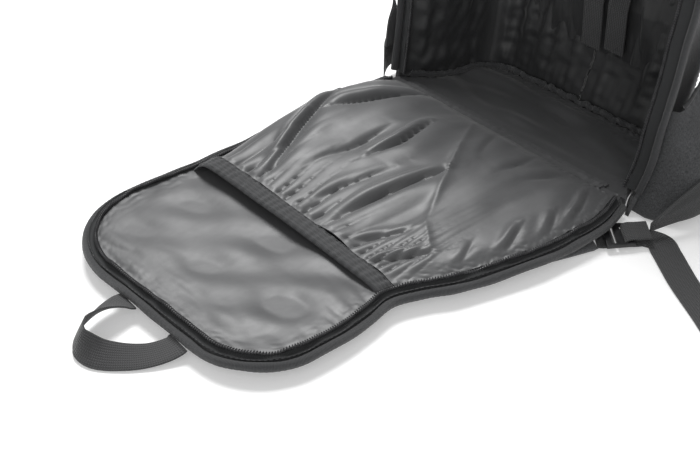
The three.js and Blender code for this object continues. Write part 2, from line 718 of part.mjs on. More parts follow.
// Points round the panel's edge from the left hinge corner over the tip to the right one
function panelEdge(inset, height) {
  const left = panelRows(inset, STRAIGHT_ROWS, CORNER_ROWS + 1).map((along) => Math.max(along, HINGE_REACH));
  const right = [...left].reverse();
  const tip = left[left.length - 1];
  return [
    ...left.map((along) => panelPlace(-1, along, inset, height)),
    ...steps(-1, 1, 4).slice(1, -1).map((across) => panelPlace(across, tip, inset, height)),
    ...right.map((along) => panelPlace(1, along, inset, height)),
  ];
}

function addPanelEdge() {
  const reach = PANEL_BINDING_DIAMETER / 2;
  const bindingHeight = PANEL_TOP - PANEL_THICK / 2;
  const binding = panelEdge(-reach - BINDING_STAND, bindingHeight);
  addPiece("panel_binding", roundAlong(binding, PANEL_BINDING_DIAMETER, 6), "binding");
  const chainHeight = LINING_TOP + CLEAR + CHAIN_DIAMETER / 2;
  const chain = panelEdge(ZIP_INSET + CHAIN_DIAMETER / 2, chainHeight);
  addPiece("panel_zipper_chain", roundAlong(chain, CHAIN_DIAMETER, 6), "zipper");
}

// Strip of binding over the hinge, from the floor's lining to the panel's
function addHinge() {
  const half = BODY_WIDTH / 2 - ZIP_INSET - 2 * TAPE_WIDTH;
  const floorTop = BASE_THICK + HINGE_RISE + CLEAR + LINING_THICK;
  const rows = [
    { back: HINGE_REACH, height: floorTop + CLEAR },
    { back: HINGE_REACH / 4, height: floorTop + 2 * CLEAR },
    { back: CLEAR, height: LINING_TOP + CLEAR },
    { back: LINING_GAP - HINGE_REACH, height: LINING_TOP + CLEAR },
  ];
  const strip = closedSheet(steps(-1, 1, 8), rows, (across, row, face) =>
    new THREE.Vector3(across * half, HINGE_Y + row.back, row.height + face * HINGE_THICK));
  addPiece("hinge_binding", strip, "binding");
}

// Laptop sleeve

function foldLift(across, along) {
  return SLEEVE_FOLDS.reduce((lift, fold) => {
    const runAcross = fold.toAcross - fold.fromAcross;
    const runAlong = fold.toAlong - fold.fromAlong;
    const length = runAcross * runAcross + runAlong * runAlong;
    const reach = ((across - fold.fromAcross) * runAcross + (along - fold.fromAlong) * runAlong) / length;
    const at = THREE.MathUtils.clamp(reach, 0, 1);
    const gapAcross = across - fold.fromAcross - at * runAcross;
    const gapAlong = along - fold.fromAlong - at * runAlong;
    const gap = Math.hypot(gapAcross, gapAlong) / fold.wide;
    return lift + fold.lift * Math.exp(-gap * gap);
  }, 0);
}

function sleeveRise(across, along) {
  const side = readTable(SLEEVE_ACROSS, "across", across, "rise");
  const length = readTable(SLEEVE_ALONG, "along", along, "rise");
  return SLEEVE_RISE * side * length * (1 + foldLift(across, along));
}

function sleevePlace(across, along, over) {
  const from = HINGE_REACH;
  const distance = from + along * (SLEEVE_LENGTH - from);
  const lift = sleeveRise(across, Math.min(along, 1)) + over;
  return panelPlace(across, distance, SLEEVE_INSET, LINING_TOP + CLEAR + lift);
}

function addSleeve() {
  const columns = [-1, -0.96, -0.91, -0.84, -0.72, -0.6, -0.48, -0.36, -0.24, -0.12, 0,
    0.12, 0.24, 0.36, 0.48, 0.6, 0.72, 0.84, 0.93, 1];
  const sleeve = closedSheet(columns, steps(0, 1, 13), (across, along, face) =>
    sleevePlace(across, along, face * SLEEVE_THICK));
  addPiece("laptop_sleeve", sleeve, "satin");
  const from = 1 + CLEAR / SLEEVE_LENGTH;
  const bandRows = [from, from + BAND_WIDTH / SLEEVE_LENGTH];
  const band = closedSheet(columns, bandRows, (across, along, face) =>
    sleevePlace(across, along, face * BAND_THICK));
  addPiece("sleeve_band", band, "binding");
}

// Grab handle at the panel's tip

function addHandle() {
  const middle = -PANEL_LENGTH * PANEL_SKEW;
  const tipEdge = PANEL_BINDING_DIAMETER + BINDING_STAND + CLEAR + HANDLE_ROOT;
  const rows = HANDLE_ROUTE.map((row) => ({
    point: new THREE.Vector3(
      middle + row.beside * PANEL_WIDTH,
      HINGE_Y - PANEL_LENGTH - tipEdge - Math.max(row.beyond, 0) * PANEL_WIDTH,
      row.height,
    ),
    turn: row.turn,
  }));
  addPiece("grab_handle", ribbon(rows, HANDLE_WIDTH, WEBBING_THICK, 26), "webbing");
}

// Shoulder straps, under the panel

function addShoulderStrap(name, side) {
  const middle = (run) => new THREE.Vector2(
    readTable(STRAP_LINE, "run", run, side < 0 ? "left" : "right") * (PANEL_WIDTH / 2) * side,
    readTable(STRAP_LINE, "run", run, "along") * PANEL_LENGTH,
  );
  const strap = closedSheet([-1, 0, 1], steps(0, 1, 12), (across, run, face) => {
    const here = middle(run);
    const next = middle(Math.min(run + 0.02, 1)).sub(middle(Math.max(run - 0.02, 0))).normalize();
    const half = (readTable(STRAP_LINE, "run", run, "half") * PANEL_WIDTH) / 2;
    const out = new THREE.Vector2(-next.y, next.x).multiplyScalar(across * half).add(here);
    return new THREE.Vector3(out.x - out.y * PANEL_SKEW, HINGE_Y - out.y, face * STRAP_THICK);
  });
  addPiece(name, strap, "melange");
}

// Ladder locks, webbing and wings at the hinge corners

function rimFoot(side) {
  return (side * BODY_WIDTH) / 2;
}

function ladderLock() {
  const halfWidth = WEBBING_WIDTH / 2 + LOCK_RAIL;
  const halfLength = LOCK_LENGTH / 2;
  const outline = new THREE.Shape();
  outline.moveTo(-halfWidth, -halfLength);
  outline.lineTo(halfWidth, -halfLength);
  outline.lineTo(halfWidth - LOCK_RAIL / 2, halfLength);
  outline.lineTo(-halfWidth + LOCK_RAIL / 2, halfLength);
  [-1, 1].forEach((end) => {
    const slot = new THREE.Path();
    const middle = (end * (LOCK_SLOT + 2 * LOCK_BAR)) / 2;
    slot.moveTo(-WEBBING_WIDTH / 2, middle - LOCK_SLOT / 2);
    slot.lineTo(WEBBING_WIDTH / 2, middle - LOCK_SLOT / 2);
    slot.lineTo(WEBBING_WIDTH / 2, middle + LOCK_SLOT / 2);
    slot.lineTo(-WEBBING_WIDTH / 2, middle + LOCK_SLOT / 2);
    outline.holes.push(slot);
  });
  const solid = new THREE.ExtrudeGeometry(outline, { depth: LOCK_THICK, bevelEnabled: false });
  solid.deleteAttribute("normal");
  solid.deleteAttribute("uv");
  return solid;
}

function lockTurn(side) {
  return side < 0 ? LOCK_TURN_LEFT : LOCK_TURN_RIGHT;
}

function addLock(name, side) {
  const material = new THREE.MeshStandardMaterial({ ...MATERIALS.plastic, metalness: 0 });
  const mesh = new THREE.Mesh(closedFrom(ladderLock()), material);
  mesh.name = name;
  mesh.position.copy(lockPoint(side, 0, LOCK_BASE));
  mesh.rotation.z = side * THREE.MathUtils.degToRad(-lockTurn(side));
  backpack.add(mesh);
}

// Merges the corners of a three.js solid so that it is one closed mesh
function closedFrom(solid) {
  const merged = mergeVertices(solid, 1e-3);
  merged.computeVertexNormals();
  return merged;
}

// Point on the middle line of a ladder lock, along its length
function lockPoint(side, along, height) {
  const turn = THREE.MathUtils.degToRad(lockTurn(side));
  const out = side < 0 ? LOCK_OUT_LEFT : LOCK_OUT_RIGHT;
  const back = side < 0 ? LOCK_BACK_LEFT : LOCK_BACK_RIGHT;
  return new THREE.Vector3(
    rimFoot(side) + side * (out + along * Math.sin(turn)),
    HINGE_Y + back + along * Math.cos(turn),
    height,
  );
}

function addThreaded(name, side, route) {
  const rows = route.map((row) => ({ point: lockPoint(side, row.along, LOCK_BASE + row.over), turn: 0 }));
  addPiece(name, ribbon(rows, WEBBING_WIDTH - 1, WEBBING_THICK, 8), "webbing");
}

function addTail(name, side, route) {
  const under = LOCK_BASE - 2 * CLEAR - WEBBING_THICK / 2;
  const threaded = TAIL_UNDER_LOCK.map((along) => lockPoint(side, along, under));
  const laid = route.map((row) => new THREE.Vector3(
    rimFoot(side) + side * row.out * TAIL_LENGTH,
    HINGE_Y + row.back * TAIL_LENGTH,
    row.height,
  ));
  const rows = [...threaded, ...laid].map((point) => ({ point, turn: 0 }));
  addPiece(name, ribbon(rows, WEBBING_WIDTH - 1, WEBBING_THICK, 22), "webbing");
}

// Three-cornered wing from the hinge corner to the outside of the side pocket, on the right
// from the webbing's end. It follows the pocket's own stations, so that it lies flat on it.
function addWing(name, side) {
  const laidRuns = POCKET_RUNS.filter((run) => run >= WING_FROM);
  const off = POCKET_THICK + 2 * CLEAR;
  const near = (climb) => {
    const up = climb - WING_CLIMBS[0];
    if (side < 0) {
      const share = up / (WING_CLIMBS[WING_CLIMBS.length - 1] - WING_CLIMBS[0]);
      return new THREE.Vector3(rimFoot(side) - WING_OUT_LEFT, HINGE_Y - 1, WING_FOOT_LEFT + share * WING_HEIGHT_LEFT);
    }
    return lockPoint(side, WING_NEAR, LOCK_BASE + WING_LIFT + up * WEBBING_WIDTH);
  };
  const bulge = side < 0 ? WING_BULGE_LEFT : 0;
  const runs = [...WING_FREE_RUNS, ...laidRuns];
  const wing = closedSheet(WING_CLIMBS, runs, (climb, run, face) => {
    const laid = pocketPlace(side, Math.max(run, laidRuns[0]), climb, off);
    const place = run < 0 ? near(climb).lerp(laid, 1 + run) : laid;
    const free = THREE.MathUtils.clamp(1 + run, 0, 1);
    place.x += side * (face * WING_THICK + 4 * bulge * free * (1 - free));
    return place;
  });
  addPiece(name, wing, "binding");
}

// Webbing that hangs beside the left rim, sewn on the side wall at its upper end
function addSideWebbing() {
  const geometry = closedSheet([-0.5, 0, 0.5], steps(0, 1, 14), (u, run, face) => {
    const read = (column) => readTable(SIDE_WEBBING_ROUTE, "run", run, column);
    const facing = THREE.MathUtils.degToRad(read("facing"));
    const reach = u * SIDE_WEBBING_WIDTH;
    const off = face * WEBBING_THICK;
    const free = new THREE.Vector3(
      rimFoot(-1) - read("out") + reach * Math.cos(facing) - off * Math.sin(facing),
      HINGE_Y + read("back") + reach * Math.sin(facing) + off * Math.cos(facing),
      read("height"),
    );
    const sewn = settle(rimFoot(-1), SIDE_WEBBING_WIDTH + reach, read("height"));
    sewn.x -= 2 * CLEAR + off;
    const share = (run - SIDE_WEBBING_SEWN) / (1 - SIDE_WEBBING_SEWN);
    return free.lerp(sewn, THREE.MathUtils.clamp(share, 0, 1));
  });
  addPiece("side_webbing_left", geometry, "webbing");
}

// Side pockets on the outside of the side panels

function pocketMouth(run) {
  return THREE.MathUtils.lerp(POCKET_LOW, POCKET_HIGH, run);
}

// Point of the pocket's inner face
function pocketSkin(side, run, climb) {
  const splay = side < 0 ? SPLAY_LEFT : SPLAY_RIGHT;
  const fullness = Math.sin(Math.PI * run) ** POCKET_FULLNESS;
  const out = readTable(POCKET_SECTION, "run", climb, side < 0 ? "left" : "right") * splay * fullness;
  const height = readTable(POCKET_SECTION, "run", climb, "up") * pocketMouth(run) + POCKET_FOOT;
  const from = side < 0 ? POCKET_FROM_LEFT : POCKET_FROM_RIGHT;
  const depth = THREE.MathUtils.lerp(from, BODY_DEPTH - FRONT_FILLET + 2 * POCKET_FROM_RIGHT, run);
  const wall = settle((side * BODY_WIDTH) / 2, depth, height);
  wall.x += side * (2 * LINING_GAP + CLEAR + out);
  return wall;
}

// Point of the pocket at a distance off its inner face, square to it
function pocketPlace(side, run, climb, off) {
  const near = 0.02;
  const from = (value) => Math.max(value - near, 0);
  const to = (value) => Math.min(value + near, 1);
  const alongBody = pocketSkin(side, to(run), climb).sub(pocketSkin(side, from(run), climb));
  const upSection = pocketSkin(side, run, to(climb)).sub(pocketSkin(side, run, from(climb)));
  const outwards = alongBody.cross(upSection).normalize();
  return pocketSkin(side, run, climb).addScaledVector(outwards, side * off);
}

function addPocket(name, side) {
  const pocket = closedSheet(POCKET_RUNS, POCKET_CLIMBS, (run, climb, face) =>
    pocketPlace(side, run, climb, face * POCKET_THICK));
  addPiece(name, pocket, "melange");
}

function addPocketBinding(name, side) {
  const reach = POCKET_BINDING / 2;
  const path = POCKET_RUNS.map((run) => {
    const kept = THREE.MathUtils.clamp(run, POCKET_BOUND, 1 - POCKET_BOUND);
    const mouth = pocketPlace(side, kept, 1, POCKET_THICK / 2);
    return mouth.setZ(mouth.z + reach + 4 * CLEAR);
  });
  addPiece(name, roundAlong(path, POCKET_BINDING, 6), "binding");
}

// Pocket and straps on the inside of the front wall

// Point on the front wall's lining, measured across the wall from its middle line
function innerWall(across, height, off) {
  const flat = BODY_WIDTH / 2 - FRONT_FILLET;
  const side = Math.sign(across);
  const reach = Math.abs(across);
  const stand = INSIDE + off;
  if (reach <= flat) {
    return settle(across, BODY_DEPTH - stand, height);
  }
  const section = filletSection(Math.PI / 2 - (reach - flat) / (FRONT_FILLET - stand), stand);
  return settle(side * (BODY_WIDTH / 2 - section.inset), section.depth, height);
}

// How far the pocket's inside face stands off the lining
function pocketStand(across, height) {
  const beside = THREE.MathUtils.clamp((2 * across) / INNER_POCKET_WIDTH, -1, 1);
  const up = THREE.MathUtils.clamp((height - INNER_POCKET_FOOT) / INNER_POCKET_HEIGHT, 0, 1);
  const full = Math.sqrt(1 - beside * beside) * Math.min(up * INNER_POCKET_FLARE, 1);
  return LINING_GAP + INNER_POCKET_BULGE * full * (1 - INNER_POCKET_DRAW * up);
}

function addInnerPocket() {
  const top = INNER_POCKET_FOOT + INNER_POCKET_HEIGHT;
  const half = INNER_POCKET_WIDTH / 2;
  const heights = steps(INNER_POCKET_FOOT, top, 6);
  const pocket = closedSheet(steps(-half, half, 10), heights, (across, height, face) =>
    innerWall(across, height, pocketStand(across, height) + face * POCKET_THICK));
  addPiece("inner_pocket", pocket, "satin");
}

// Webbing that hangs down the front wall over the inner pocket and is sewn on above it
function addInnerStrap(name, across, foot) {
  const top = foot + INNER_STRAP_LENGTH;
  const pocketTop = INNER_POCKET_FOOT + INNER_POCKET_HEIGHT;
  const edge = INNER_STRAP_WIDTH / 2;
  const landing = pocketTop + INNER_STRAP_DROP;
  const heights = [...steps(foot, pocketTop + CLEAR, 6), landing, landing + INNER_STRAP_DROP, top];
  const strap = closedSheet([across - edge, across + edge], heights, (place, height, face) => {
    const over = pocketStand(across, height) + POCKET_THICK + 2 * LINING_GAP;
    return innerWall(place, height, (height < landing ? over : CLEAR) + face * WEBBING_THICK);
  });
  addPiece(name, strap, "webbing");
}

addWalls();
addLinings();
addFloor();
addFloorSeam();
addRim();
addPanel();
addPanelEdge();
addHinge();
addSleeve();
addHandle();
addShoulderStrap("shoulder_strap_left", -1);
addShoulderStrap("shoulder_strap_right", 1);
addLock("ladder_lock_left", -1);
addLock("ladder_lock_right", 1);
addThreaded("anchor_webbing_left", -1, ANCHOR_ROUTE_LEFT);
addThreaded("anchor_webbing_right", 1, ANCHOR_ROUTE_RIGHT);
addThreaded("strap_loop_left", -1, LOOP_ROUTE);
addThreaded("strap_loop_right", 1, LOOP_ROUTE);
addThreaded("strap_tail_left", -1, TAIL_ROUTE_LEFT);
addTail("strap_tail_right", 1, TAIL_ROUTE_RIGHT);
addWing("anchor_wing_left", -1);
addWing("anchor_wing_right", 1);
addSideWebbing();
addPocket("side_pocket_left", -1);
addPocket("side_pocket_right", 1);
addPocketBinding("side_pocket_binding_left", -1);
addPocketBinding("side_pocket_binding_right", 1);
addInnerPocket();
addInnerStrap("inner_strap_left", INNER_STRAP_LEFT, INNER_POCKET_FOOT + INNER_STRAP_FOOT);
addInnerStrap("inner_strap_right", INNER_STRAP_RIGHT, INNER_POCKET_FOOT + 2 * INNER_STRAP_FOOT);

export default backpack;
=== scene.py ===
"""Dresses the opened laptop backpack: cloth, webbing, zippers, stitching, camera and stage."""

import bmesh
import bpy
import numpy as np
from bpy.props import FloatProperty, FloatVectorProperty, PointerProperty
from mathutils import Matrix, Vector


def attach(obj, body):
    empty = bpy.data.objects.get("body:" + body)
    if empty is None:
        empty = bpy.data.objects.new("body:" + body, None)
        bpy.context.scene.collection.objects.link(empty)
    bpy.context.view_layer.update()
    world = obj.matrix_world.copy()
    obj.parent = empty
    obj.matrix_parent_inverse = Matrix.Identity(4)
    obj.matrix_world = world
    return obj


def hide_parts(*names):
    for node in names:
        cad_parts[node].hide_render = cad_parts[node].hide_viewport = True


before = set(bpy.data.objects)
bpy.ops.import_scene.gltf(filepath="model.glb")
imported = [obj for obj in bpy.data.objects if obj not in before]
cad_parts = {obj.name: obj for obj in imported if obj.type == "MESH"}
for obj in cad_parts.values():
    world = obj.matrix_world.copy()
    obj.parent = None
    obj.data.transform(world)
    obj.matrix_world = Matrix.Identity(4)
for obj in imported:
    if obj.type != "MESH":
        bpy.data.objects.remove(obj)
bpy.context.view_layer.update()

bl_info = {
    "name": "Laptop backpack",
    "version": (1, 0, 0),
    "blender": (4, 5, 0),
    "location": "3D View > Sidebar > Backpack",
    "description": "Makes the cloth, webbing, zippers and stitching of an opened laptop backpack",
    "category": "Object",
}

# Sizes in millimetres. They are the solids' own but for three: the zipper and the sleeve lie
# closer to the panel's edge, and the handle's root is sunk into the binding. Where a size has
# two values, -1 is the left side and 1 the right one.
BODY_WIDTH, BODY_DEPTH, BODY_HEIGHT, BODY_CORNER = 316, 112, 420, 90
FRONT_FILLET, FRONT_BULGE, WALL_THICK, LINING_THICK, BASE_THICK = 48, 22, 4, 1, 6
HINGE_RISE, HINGE_RISE_DEPTH, FOOT_BAND = 9, 55, 20
PANEL_LENGTH, PANEL_WIDTH, PANEL_THICK = 408, 280, 9
PANEL_CORNER_LEFT, PANEL_CORNER_RIGHT, PANEL_SKEW = 92, 58, 0.05
TAPE_WIDTH, TAPE_THICK, CHAIN_DIAMETER, BINDING_DIAMETER = 12, 1.4, 4, 7
TAPE_SLOPE, RIM_OVERHANG, BINDING_STAND, ZIP_INSET, HINGE_REACH = 0.75, 1, 1, 2.5, 8
SLEEVE_LENGTH, SLEEVE_RISE, SLEEVE_INSET, BAND_WIDTH = 245, 32, 8, 18
HANDLE_WIDTH, HANDLE_ROOT, WEBBING_WIDTH, WEBBING_THICK, STRAP_THICK = 26, -0.9, 28, 1.8, 8
LOCK_THICK = 3.6
LOCK_OUT = {-1: -10, 1: 18}
LOCK_BACK = {-1: -33, 1: -34.6}
LOCK_TURN = {-1: 10, 1: 38}
WING_THICK, WING_NEAR, WING_LIFT, TAIL_LENGTH = 1.5, 28.1, 5, 150
WING_OUT_LEFT, WING_FOOT_LEFT, WING_HEIGHT_LEFT, WING_BULGE_LEFT = 6, 6, 40, 10
SIDE_WEBBING_WIDTH, SIDE_WEBBING_SEWN = 20, 0.88
POCKET_FROM = {-1: 16, 1: 7}
TAIL_UNDER_LOCK = (-2, 7, 16)
POCKET_THICK, POCKET_LOW, POCKET_HIGH, POCKET_BINDING = 1.6, 96, 150, 5
POCKET_FULLNESS, POCKET_FOOT, SPLAY_LEFT, SPLAY_RIGHT = 0.35, 3, 36, 66
INNER_POCKET_WIDTH, INNER_POCKET_FOOT, INNER_POCKET_HEIGHT, INNER_POCKET_BULGE = 208, 62, 165, 12
INNER_POCKET_FLARE, INNER_POCKET_DRAW = 3, 0.1
INNER_STRAP_WIDTH, INNER_STRAP_LENGTH, INNER_STRAP_DROP = 24, 250, 16
INNER_STRAPS = {"left": (-2, 4), "right": (31, 8)}  # place across, height over the pocket's foot
CLEAR, LINING_GAP, SEAM_OVERLAP = 0.3, 1.2, 2
HINGE_Y = -BODY_DEPTH / 2
LINING_INSET = WALL_THICK + LINING_GAP
INSIDE = LINING_INSET + LINING_THICK + CLEAR
PANEL_FOOT = STRAP_THICK + CLEAR
LOCK_BASE = PANEL_FOOT - CLEAR - LOCK_THICK
PANEL_TOP = PANEL_FOOT + PANEL_THICK
LINING_TOP = PANEL_TOP + CLEAR + LINING_THICK

# Sizes that only the dressed pieces have
PATH_GAP, TAPE_GAP, RUFFLE_GAP = 1.6, 1.8, 1.3
COIL_PITCH, COIL_WIRE_SHARE, COIL_CORE, COIL_STEPS = 2.4, 0.3, 2.2, 8
STITCH_SIDES, STITCH_OFF, STITCH_BACK, SHARP_ANGLE = 5, -0.15, 6, 50
FRONT_FLAT, FRONT_BEND, LINING_DEPTH, HINGE_STRIP_INSET = 0.7, 0.3, 100, 30
SLEEVE_EASE, SLEEVE_SPACING, CREASE_STRENGTH, BAND_DROP = 0.94, 0.86, 1.05, 0.16
WING_LOW, WING_HIGH, WING_START, WING_OFF = 0.2, 0.5, 0.3, 0.8
POCKET_BOUND, STRAP_RUN, STRAP_ROUND = 0.05, 330, 6

# Tables of the shape, one tuple for each column
BODY_PLAN = {
    "deep": (0, 0.12, 0.25, 0.5, 0.75, 1),
    "wide": (1, 0.94, 0.89, 0.85, 0.83, 0.82),
}
BODY_STANCE = {
    "up": (0, 0.1, 0.2, 0.3, 0.4, 0.5, 0.75, 1),
    "left": (0.02, 0.09, 0.15, 0.21, 0.26, 0.31, 0.41, 0.5),
    "right": (0.02, 0.21, 0.27, 0.31, 0.34, 0.37, 0.44, 0.5),
    "wide_left": (0.968, 0.985, 1, 1.03, 1.06, 1.09, 1.08, 1),
    "wide_right": (1, 1.028, 1.048, 1.078, 1.1, 1.125, 1.1, 1),
}
PANEL_OUTLINE = {
    "along": (0, 0.1, 0.2, 0.3, 0.4, 0.5, 0.56, 0.63, 0.7, 0.79, 1),
    "left": (1.06, 1.08, 1.08, 1.06, 1.02, 0.985, 0.97, 0.965, 0.97, 0.975, 0.98),
    "right": (1.08, 1.18, 1.2, 1.19, 1.14, 1.07, 0.99, 0.935, 0.98, 1.02, 1.03),
}
SLEEVE_ACROSS = {
    "across": (-1, -0.93, -0.84, -0.6, -0.3, 0, 0.35, 0.65, 0.88, 1),
    "rise": (0, 0.62, 0.98, 1, 0.88, 0.8, 0.62, 0.42, 0.26, 0),
}
SLEEVE_ALONG = {
    "along": (0, 0.08, 0.25, 0.5, 0.75, 0.92, 1),
    "rise": (0.06, 0.45, 0.85, 1, 0.88, 0.62, 0.55),
}
POCKET_SECTION = {
    "run": (0, 0.12, 0.2, 0.45, 0.75, 1),
    "left": (0, 0.8, 1, 0.98, 0.8, 0.58),
    "right": (0, 0.8, 1, 0.95, 0.62, 0.3),
    "up": (0, 0, 0.1, 0.38, 0.72, 1),
}
STRAP_LINE = {
    "run": (0, 0.2, 0.4, 0.6, 0.8, 1),
    "along": (0.93, 0.78, 0.6, 0.42, 0.26, 0.131),
    "left": (0.3, 0.36, 0.56, 0.78, 0.93, 1.008),
    "right": (0.3, 0.36, 0.56, 0.78, 1, 1.18),
    "half": (0.2, 0.22, 0.23, 0.23, 0.18, 0.11),
}
HANDLE_ROUTE = {
    "beside": (-0.024, -0.026, -0.022, -0.012, 0.004, 0.044, 0.1, 0.155, 0.2, 0.224, 0.226),
    "beyond": (-0.012, 0.025, 0.072, 0.125, 0.18, 0.216, 0.206, 0.152, 0.083, 0.017, -0.012),
    "height": (11, 12.5, 15.5, 17.5, 17, 14, 9.5, 6, 5, 7.5, 10),
    "turn": (0, 6, 26, 48, 64, 66, 40, 20, 8, 2, 0),
}
TAIL_ROUTE_RIGHT = {
    "out": (0.2, 0.3, 0.4, 0.64, 0.94, 1.13),
    "back": (-0.105, -0.065, -0.12, -0.27, -0.43, -0.54),
    "height": (1.5, 1.2, 1.2, 1.2, 1.2, 1.2),
}
TAIL_ROUTE_LEFT = {"along": (-3, 8, 18, 30), "over": (-3.45, -3.45, -3.45, -3.45)}
ANCHOR_ROUTE = {
    -1: {"along": (5.25, 7, 11, 18, 31.2), "over": (1.4, -1.2, -1.3, -1.3, -1.3)},
    1: {"along": (5.25, 6, 10, 17, 27.5), "over": (1.2, 4.2, 5.7, 5.7, 6.2)},
}
SIDE_WEBBING_ROUTE = {
    "run": (0, 0.18, 0.34, 0.6, 1),
    "height": (46, 72, 95, 130, 186),
    "out": (4.1, 8, 11, 12.4, 9),
    "back": (9, 13, 16.5, 26, 45),
    "facing": (90, 108, 138, 112, 62),
}
LOOP_ROUTE = {"along": (-20, -15, -11, -7, -5.25), "over": (-1.2, -1.8, -1.6, -1.2, 1.4)}

# Creases of the sleeve in millimetres: three points each (to the right of the middle, from the
# hinge), the depth of the valley (a ridge is negative), its width, and how much higher its
# left bank stands than its right one
SLEEVE_CREASES = (
    ((-126, 100), (-97, 171), (-72, 228), 5.5, 5, 1.4),
    ((-106, 119), (-90, 56), (-86, 24), 7, 7, 0.4),
    ((-24, 148), (-22, 113), (-30, 66), 7, 4.5, 0.5),
    ((-52, 196), (-44, 150), (-48, 100), 3, 6, 0.2),
    ((19, 222), (27, 171), (36, 110), 5.5, 5, 0.6),
    ((-14, 226), (-4, 186), (4, 150), 3, 5, 0.4),
    ((79, 244), (94, 221), (106, 198), 4.5, 4, 0.6),
    ((50, 238), (62, 214), (74, 190), 3, 4, 0.3),
    ((-18, 17), (30, 96), (77, 176), -4, 3.4, 0),
    ((77, 176), (96, 190), (112, 202), -2.5, 3, 0),
    ((10, 20), (22, 44), (34, 66), 2.5, 5, 0.3),
    ((60, 18), (64, 40), (62, 70), 2.6, 6, 0.4),
    ((96, 16), (92, 36), (84, 62), 2.2, 6, 0.3),
    ((146, 156), (139, 134), (130, 112), 3.6, 4, 0.8),
    ((156, 113), (148, 94), (136, 74), 3.6, 4, 0.8),
    ((156, 82), (142, 46), (124, 12), 5, 3.2, 1.2),
    ((132, 190), (126, 176), (118, 160), 2.4, 4, 0.3),
)
PLEAT_PLACES = (-118, -101, -86, -70, -57, -43, -31, -20, -7, 6, 20, 33, 45, 56, 66, 75, 83, 91, 99, 107, 116)

# Folds of the lining on the front wall: place at the floor and at the top, lift and width
FRONT_FOLDS = {
    "foot": (-112, -84, -62, -44, -24, 66, 84, 108),
    "top": (-128, -70, -50, -30, -20, 92, 112, 134),
    "lift": (5, 6, 4, 5, 3, 7, -2, 5),
    "wide": (9, 7, 5, 6, 5, 8, 9, 8),
}


def read(table, key, place, column):
    """Smooth curve through a column of a table: on each span a cubic whose slopes at the two
    ends are the slopes between the neighbouring rows."""
    keys, values = np.array(table[key], float), np.array(table[column], float)
    at = np.clip(place, keys[0], keys[-1])
    row = np.clip(np.searchsorted(keys, at) - 1, 0, len(keys) - 2)
    before, after = np.maximum(row - 1, 0), np.minimum(row + 2, len(keys) - 1)
    span = keys[row + 1] - keys[row]
    share = (at - keys[row]) / span
    low, high = values[row], values[row + 1]
    start = (high - values[before]) / (keys[row + 1] - keys[before]) * span
    end = (values[after] - low) / (keys[after] - keys[row]) * span
    square, cube = share**2, share**3
    return (
        (2 * cube - 3 * square + 1) * low + (cube - 2 * square + share) * start
        + (3 * square - 2 * cube) * high + (cube - square) * end
    )


def steps(start, end, count):
    return np.linspace(start, end, count + 1)


def matched(*values):
    """The values as arrays of one shape."""
    return np.broadcast_arrays(*(np.asarray(value, float) for value in values))


def unit(vectors):
    return vectors / np.maximum(np.linalg.norm(vectors, axis=-1, keepdims=True), 1e-9)


def mix(low, high, share):
    return low + (high - low) * share


def rise(values, low, high):
    """Smooth step from 0 at low to 1 at high."""
    share = np.clip((values - low) / (high - low), 0, 1)
    return share * share * (3 - 2 * share)


def ripple(x, y, size, seed, count=9):
    """Soft irregular waves of about the given size: a sum of sines in random directions."""
    random = np.random.default_rng(seed)
    angle = random.uniform(0, np.pi, count)
    pace = 2 * np.pi / (size * random.uniform(0.7, 1.6, count))
    phase = random.uniform(0, 2 * np.pi, count)
    total = 0
    for turn, rate, start in zip(angle, pace, phase):
        total = total + np.sin((x * np.cos(turn) + y * np.sin(turn)) * rate + start)
    return total / np.sqrt(count)


def eased(count, ease=1):
    """Places from -1 to 1 that lie closer together towards both ends."""
    return np.sin(steps(-1, 1, count) * np.pi / 2 * ease) / np.sin(np.pi / 2 * ease)


def resample(path, places, at):
    """Points of a path at other places than its own."""
    return np.stack([np.interp(at, places, path[:, axis]) for axis in range(3)], -1)


def spaced(path, gap):
    """The same path with its points at equal distances of about the gap."""
    length = np.concatenate([[0], np.cumsum(np.linalg.norm(np.diff(path, axis=0), axis=1))])
    return resample(path, length, np.linspace(0, length[-1], max(int(length[-1] / gap), 2) + 1))


def tangents(path):
    return unit(np.gradient(path, axis=0))


def smooth_path(points, count):
    """Centripetal Catmull-Rom curve through the points, count steps of equal parameter."""
    points = np.array(points, float)
    ends = np.concatenate([[2 * points[0] - points[1]], points, [2 * points[-1] - points[-2]]])
    place = steps(0, 1, count) * (len(points) - 1)
    low = np.minimum(place.astype(int), len(points) - 2)
    share = (place - low)[:, None]
    a, b, c, d = (ends[low + shift] for shift in range(4))
    first, middle, last = (
        np.sqrt(np.linalg.norm(high - base, axis=1, keepdims=True))
        for base, high in ((a, b), (b, c), (c, d))
    )
    start = ((b - a) / first - (c - a) / (first + middle) + (c - b) / middle) * middle
    end = ((c - b) / middle - (d - b) / (middle + last) + (d - c) / last) * middle
    square, cube = share**2, share**3
    return (
        (2 * cube - 3 * square + 1) * b + (cube - 2 * square + share) * start
        + (3 * square - 2 * cube) * c + (cube - square) * end
    )


# Meshes


class Mesh:
    """Points in millimetres, quads, triangles and the flattened place of each point."""

    def __init__(self, points, quads, triangles=(), flat=None):
        self.points = np.asarray(points, float)
        self.quads = np.asarray(quads, int).reshape(-1, 4)
        self.triangles = np.asarray(triangles, int).reshape(-1, 3)
        self.flat = np.zeros((len(self.points), 2)) if flat is None else np.asarray(flat, float)

    def __add__(self, other):
        shift = len(self.points)
        return Mesh(
            np.concatenate([self.points, other.points]),
            np.concatenate([self.quads, other.quads + shift]),
            np.concatenate([self.triangles, other.triangles + shift]),
            np.concatenate([self.flat, other.flat]),
        )

    def volume(self):
        corners = np.concatenate([self.triangles, self.quads[:, :3], self.quads[:, [0, 2, 3]]])
        a, b, c = (self.points[corners[:, index]] for index in range(3))
        return np.einsum("ij,ij->", a, np.cross(b, c))


